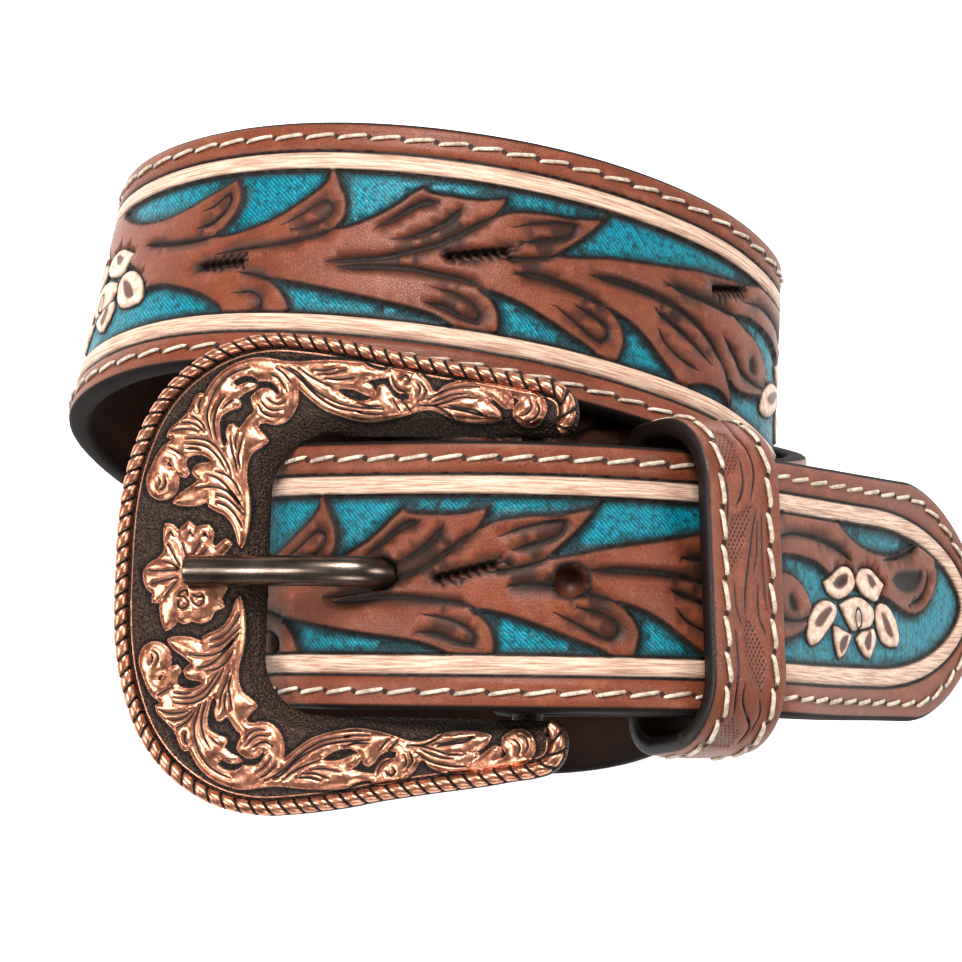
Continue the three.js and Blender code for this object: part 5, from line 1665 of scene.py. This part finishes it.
def casting_mesh():
    copper, sunk, cuts = raised_shapes()
    outline = np.vstack([rim_outer, opening_edge[1:-1]])
    outline = counter_clockwise(outline)
    lines = []
    for loop in copper:
        lines += [(shifted(loop, by, True) if by else loop, True) for by in (0.0, -0.4, -0.65)]
    for loop in sunk:
        lines += [(loop, True), (shifted(loop, 0.3, True), True)]
    for line, width in cuts:
        lines += [(line, False), (shifted(line, width + 0.1, False), False),
                  (shifted(line, -width - 0.1, False), False)]
    fine_line = [shifted(rim_outer, by, False) for by in (2.35, 2.5, 2.62, 2.8)]
    middle = np.array([20.0, 0.0])
    toward = fine_line[0] - rim_outer
    if np.sum((middle - rim_outer) * toward) < 0:
        fine_line = [shifted(rim_outer, -by, False) for by in (2.35, 2.5, 2.62, 2.8)]
    lines += [(line[6:-6], False) for line in fine_line]

    def inner(p):
        ok = inside(p, outline)
        ok[ok] = distance(p[ok], outline, True) > 0.22
        return ok

    grid = np.stack(np.meshgrid(np.arange(-7, 60, 0.62), np.arange(-35, 35.1, 0.62)), -1).reshape(-1, 2)
    grid = grid[inside(grid, outline)]
    flat, tris = fitted_sheet(outline, lines, inner, grid, 0.28)
    n = len(flat)
    raised = np.full(n, -2.0)
    for loop in copper:
        near = each_near(flat, loop, 2.0)
        d = depth_in(flat[near], loop)
        raised[near] = np.maximum(raised[near], d + COPPER_SPREAD)
    for loop in sunk:
        near = each_near(flat, loop, 2.0)
        d = depth_in(flat[near], loop)
        raised[near] = np.minimum(raised[near], -d)
    to_rim = distance(flat, rim_outer, False)
    to_opening = distance(flat, opening_edge, False)
    z = np.full(n, FACE_OVER_BAR - 0.35)
    raised_by = 0.55 * smoothstep(0, 0.35, raised) + 0.42 * smoothstep(0.2, 2.2, raised)
    z += np.where(raised > 0, raised_by, 0)
    dark = np.exp(-((raised + 0.30) / 0.22) ** 2)
    for line, width in cuts:
        near = each_near(flat, line, 0.8)
        d, w = distance(flat[near], line, False, width)
        z[near] -= 0.42 * np.clip(1 - d / (w + 0.1), 0, 1)
        dark[near] = np.maximum(dark[near], np.clip(1.2 - d / (w + 0.08), 0, 1))
    ridge = np.clip(1 - np.abs(to_rim - 2.56) / 0.16, 0, 1) * (to_opening > WALL_SLOPE)
    z += 0.32 * ridge
    z -= WALL_DROP * np.clip(1 - to_opening / WALL_SLOPE, 0, 1)
    z -= 0.5 * smoothstep(2.2, 0.2, to_rim)
    reach = np.interp(flat[:, 0], prong_line[:, 0], prong_line[:, 1])
    under = reach - np.sqrt(np.maximum((PRONG_R + 0.25) ** 2 - flat[:, 1] ** 2, 0))
    beneath = (np.abs(flat[:, 1]) < PRONG_R + 0.25) & (flat[:, 0] < prong_line[-1, 0] + 0.4)
    z = np.where(beneath, np.minimum(z, under), z)
    bright = np.maximum(np.clip(0.5 + raised / 0.3, 0, 1), ridge)
    points = [np.column_stack([flat, z])]
    faces = [tuple(t) for t in tris.tolist()]
    loop_z = FACE_OVER_BAR - 0.35 - WALL_DROP * np.clip(
        1 - distance(outline, opening_edge, False) / WALL_SLOPE, 0, 1)
    loop_z -= 0.5 * smoothstep(2.2, 0.2, distance(outline, rim_outer, False))
    count = len(outline)
    base = n
    low = np.full(count, FRAME_BASE)
    for level_z in (loop_z, np.minimum(loop_z - 0.05, low + 0.5), low):
        points.append(np.column_stack([outline, level_z]))
    faces += tube_faces(base, 3, count)
    base += 3 * count
    under_flat, under_tris = fitted_sheet(outline, [], inner, np.array([[45.0, 0.0]]), 0.3)
    points.append(np.column_stack([under_flat, np.full(len(under_flat), FRAME_BASE)]))
    faces += [tuple(base + i for i in t) for t in under_tris.tolist()]
    total = sum(map(len, points))
    # Bar and lugs
    bar_faces = 24
    bar_half = OPENING_HALF + LUG_W / 2
    bar = []
    for y in (-bar_half, bar_half):
        bar += [(BAR_R * math.cos(2 * math.pi * k / bar_faces), y,
                 BAR_R * math.sin(2 * math.pi * k / bar_faces)) for k in range(bar_faces)]
    points.append(np.array(bar))
    faces += tube_faces(total, 2, bar_faces)
    faces += [tuple(total + k for k in range(bar_faces)),
              tuple(total + bar_faces + k for k in range(bar_faces))]
    total += len(bar)
    for sign in (-1, 1):
        y0 = sign * (OPENING_HALF + LUG_W / 2)
        ring = [(math.cos(a) * LUG_L / 2 * (0.9 + 0.1 * abs(math.cos(2 * a))),
                 y0 + math.sin(a) * LUG_W / 2) for a in np.linspace(0, 2 * math.pi, 21)[:-1]]
        lug = [(x, y, zz) for zz in (-BAR_R - 0.3, -BAR_R + 0.1, FRAME_BASE + 0.2) for x, y in ring]
        points.append(np.array(lug))
        faces += tube_faces(total, 3, 20)
        faces += [tuple(total + k for k in range(20)), tuple(total + 40 + k for k in range(20))]
        total += len(lug)
    flat_all = np.vstack([p[:, :2] for p in points])
    rest = len(flat_all) - n
    made = link_mesh("buckle_casting", on_buckle(np.vstack(points)), faces)
    finish_shell(made, {"bright": np.concatenate([bright, np.full(rest, 0.25)]),
                        "dark": np.concatenate([dark, np.zeros(rest)])}, flat_all / 10)
    return made


def rope_mesh():
    """A bead twisted like rope, run round the frame's outer edge."""
    dense = smooth_line(RIM_EDGE, 0.25, False)
    whole = np.vstack([dense, (dense * [1, -1])[::-1]])
    keep = np.linalg.norm(np.diff(whole, axis=0, prepend=whole[:1] - 1), axis=1) > 0.05
    whole = whole[keep]
    moved = shifted(whole, ROPE_R, False)
    if np.sum((np.array([20.0, 0.0]) - whole) * (moved - whole)) < 0:
        moved = shifted(whole, -ROPE_R, False)
    run = np.concatenate([[0], np.cumsum(np.linalg.norm(np.diff(moved, axis=0), axis=1))])
    even = np.arange(0, run[-1], 0.24)
    line = np.stack([np.interp(even, run, moved[:, k]) for k in range(2)], -1)
    ahead = unit(np.gradient(line, axis=0))
    side = np.stack([-ahead[:, 1], ahead[:, 0]], -1)
    around = 14
    pitch = 2.25
    points, dark = [], []
    for k in range(around):
        a = 2 * math.pi * k / around
        phase = even / pitch + 0.30 * math.cos(a)
        cut = np.abs(np.mod(phase, 1) - 0.5) * 2
        groove = smoothstep(0.62, 0.98, cut)
        r = ROPE_R * (1.02 - 0.26 * groove)
        offset = r * math.cos(a)
        points.append(np.column_stack([line + side * offset[:, None],
                                       FACE_OVER_BAR - 0.1 + r * math.sin(a) * 1.05]))
        dark.append(groove)
    rows = len(even)
    flat = np.stack(points, 1).reshape(-1, 3)
    faces = tube_faces(0, rows, around)
    faces += [tuple(range(around)), tuple(range((rows - 1) * around, rows * around))]
    made = link_mesh("buckle_rope_rim", on_buckle(flat), faces)
    groove = np.stack(dark, 1).ravel()
    finish_shell(made, {"bright": 1 - groove, "dark": groove}, flat[:, :2] / 10)
    return made


def copper_material():
    material, tree, surface = new_material("antique_copper")
    uv = put(tree, "ShaderNodeUVMap", uv_map="flat_cm").outputs[0]
    bright = layer(tree, "bright")
    dark = layer(tree, "dark")
    worn = noise(tree, uv, 7.0, 5.0, 0.6)
    copper = mix_colour(tree, ramp(tree, worn, 0.35, 0.65), (0.36, 0.150, 0.090), (0.66, 0.34, 0.225))
    speck = ramp(tree, noise(tree, uv, 34.0, 4.0, 0.7), 0.40, 0.66)
    ground = mix_colour(tree, speck, (0.010, 0.006, 0.004), (0.115, 0.066, 0.044))
    share = ramp(tree, bright, 0.35, 0.65)
    colour = mix_colour(tree, share, ground, copper)
    colour = mix_colour(tree, ramp(tree, dark, 0.10, 0.75), colour, (0.014, 0.009, 0.007))
    tree.links.new(colour, surface.inputs["Base Color"])
    shine = calc(tree, "MULTIPLY", share, calc(tree, "SUBTRACT", 1.0, ramp(tree, dark, 0.1, 0.75)))
    tree.links.new(calc(tree, "ADD", calc(tree, "MULTIPLY", shine, 0.45), 0.5),
                   surface.inputs["Metallic"])
    rough = calc(tree, "SUBTRACT", 0.52, calc(tree, "MULTIPLY", shine, 0.24))
    tree.links.new(calc(tree, "ADD", rough, calc(tree, "MULTIPLY", worn, 0.10)),
                   surface.inputs["Roughness"])
    pits = put(tree, "ShaderNodeTexVoronoi", {"Vector": uv, "Scale": 26.0}).outputs["Distance"]
    matted = calc(tree, "MULTIPLY", ramp(tree, pits, 0.0, 0.6), calc(tree, "SUBTRACT", 1.0, share))
    fine = calc(tree, "MULTIPLY", noise(tree, uv, 22.0, 3.0), 0.16)
    bump = put(tree, "ShaderNodeBump", {"Strength": 0.8, "Distance": 0.00025,
                                        "Height": calc(tree, "ADD", matted, fine)})
    tree.links.new(bump.outputs[0], surface.inputs["Normal"])
    return material


copper_plate = copper_material()
casting = casting_mesh()
rope_rim = rope_mesh()
for piece in (casting, rope_rim):
    piece.data.materials.append(copper_plate)
    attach(piece, "root")
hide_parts("buckle_frame")


# ---------------------------------------------------------------------------
# Prong: a round bronze-coloured rod, curled into an eye round the heel bar.
# It comes up through a hole of the tail and rests on the frame's far bar.
# ---------------------------------------------------------------------------
EYE_R = BAR_R + 0.3 + 1.9
EYE_W = 6.0
EYE_BORE = BAR_R + 0.3


def prong_mesh():
    around = 28
    run = np.concatenate([[0], np.cumsum(np.linalg.norm(np.diff(prong_line, axis=0), axis=1))])
    even = np.linspace(0, run[-1], 90)
    line = np.stack([np.interp(even, run, prong_line[:, k]) for k in range(2)], -1)
    kernel = np.ones(5) / 5
    line[2:-2] = np.stack([np.convolve(line[:, k], kernel, "valid") for k in range(2)], -1)
    ahead = unit(np.gradient(line, axis=0))
    up = np.stack([-ahead[:, 1], ahead[:, 0]], -1)
    rows = [(line[i], up[i], PRONG_R) for i in range(len(even))]
    for step, share in ((0.12, 0.97), (0.26, 0.86)):
        rows.append((line[-1] + ahead[-1] * step, up[-1], PRONG_R * share))
    points, faces = [], []
    for at, rise, r in rows:
        for k in range(around):
            a = 2 * math.pi * k / around
            c, s = math.cos(a), math.sin(a)
            points.append((at[0] + rise[0] * r * s, r * c, at[1] + rise[1] * r * s))
    n = len(rows)
    faces += tube_faces(0, n, around)
    faces += [tuple(range(around)), tuple(range((n - 1) * around, n * around))]
    base = len(points)
    section = [(EYE_BORE, -EYE_W / 2 + 0.3), (EYE_BORE + 0.3, -EYE_W / 2), (EYE_R - 0.5, -EYE_W / 2),
               (EYE_R, -EYE_W / 2 + 0.6), (EYE_R, EYE_W / 2 - 0.6), (EYE_R - 0.5, EYE_W / 2),
               (EYE_BORE + 0.3, EYE_W / 2), (EYE_BORE, EYE_W / 2 - 0.3)]
    turns = 36
    for i in range(turns):
        a = 2 * math.pi * i / turns
        points += [(r * math.cos(a), y, r * math.sin(a)) for r, y in section]
    m = len(section)
    faces += [(base + i * m + k, base + i * m + (k + 1) % m, base + (i + 1) % turns * m + (k + 1) % m,
               base + (i + 1) % turns * m + k) for i in range(turns) for k in range(m)]
    made = link_mesh("prong_rod", on_buckle(points), faces)
    finish_shell(made, {}, np.array(points)[:, :2] / 10)
    return made


def bronze_material():
    material, tree, surface = new_material("bronze_plate")
    uv = put(tree, "ShaderNodeUVMap", uv_map="flat_cm").outputs[0]
    drawn_out = put(tree, "ShaderNodeMapping", {0: uv, 3: (0.25, 6.0, 1.0)}).outputs[0]
    streak = noise(tree, drawn_out, 6.0, 4.0)
    cloud = noise(tree, uv, 1.5, 4.0)
    colour = mix_colour(tree, ramp(tree, cloud, 0.3, 0.7), (0.085, 0.062, 0.050), (0.24, 0.19, 0.155))
    tree.links.new(colour, surface.inputs["Base Color"])
    surface.inputs["Metallic"].default_value = 1.0
    tree.links.new(calc(tree, "ADD", calc(tree, "MULTIPLY", streak, 0.22), 0.18),
                   surface.inputs["Roughness"])
    bump = put(tree, "ShaderNodeBump", {"Strength": 0.15, "Distance": 0.0001, "Height": streak})
    tree.links.new(bump.outputs[0], surface.inputs["Normal"])
    return material


prong = prong_mesh()
prong.data.materials.append(bronze_material())
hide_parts("prong")
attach(prong, "root")
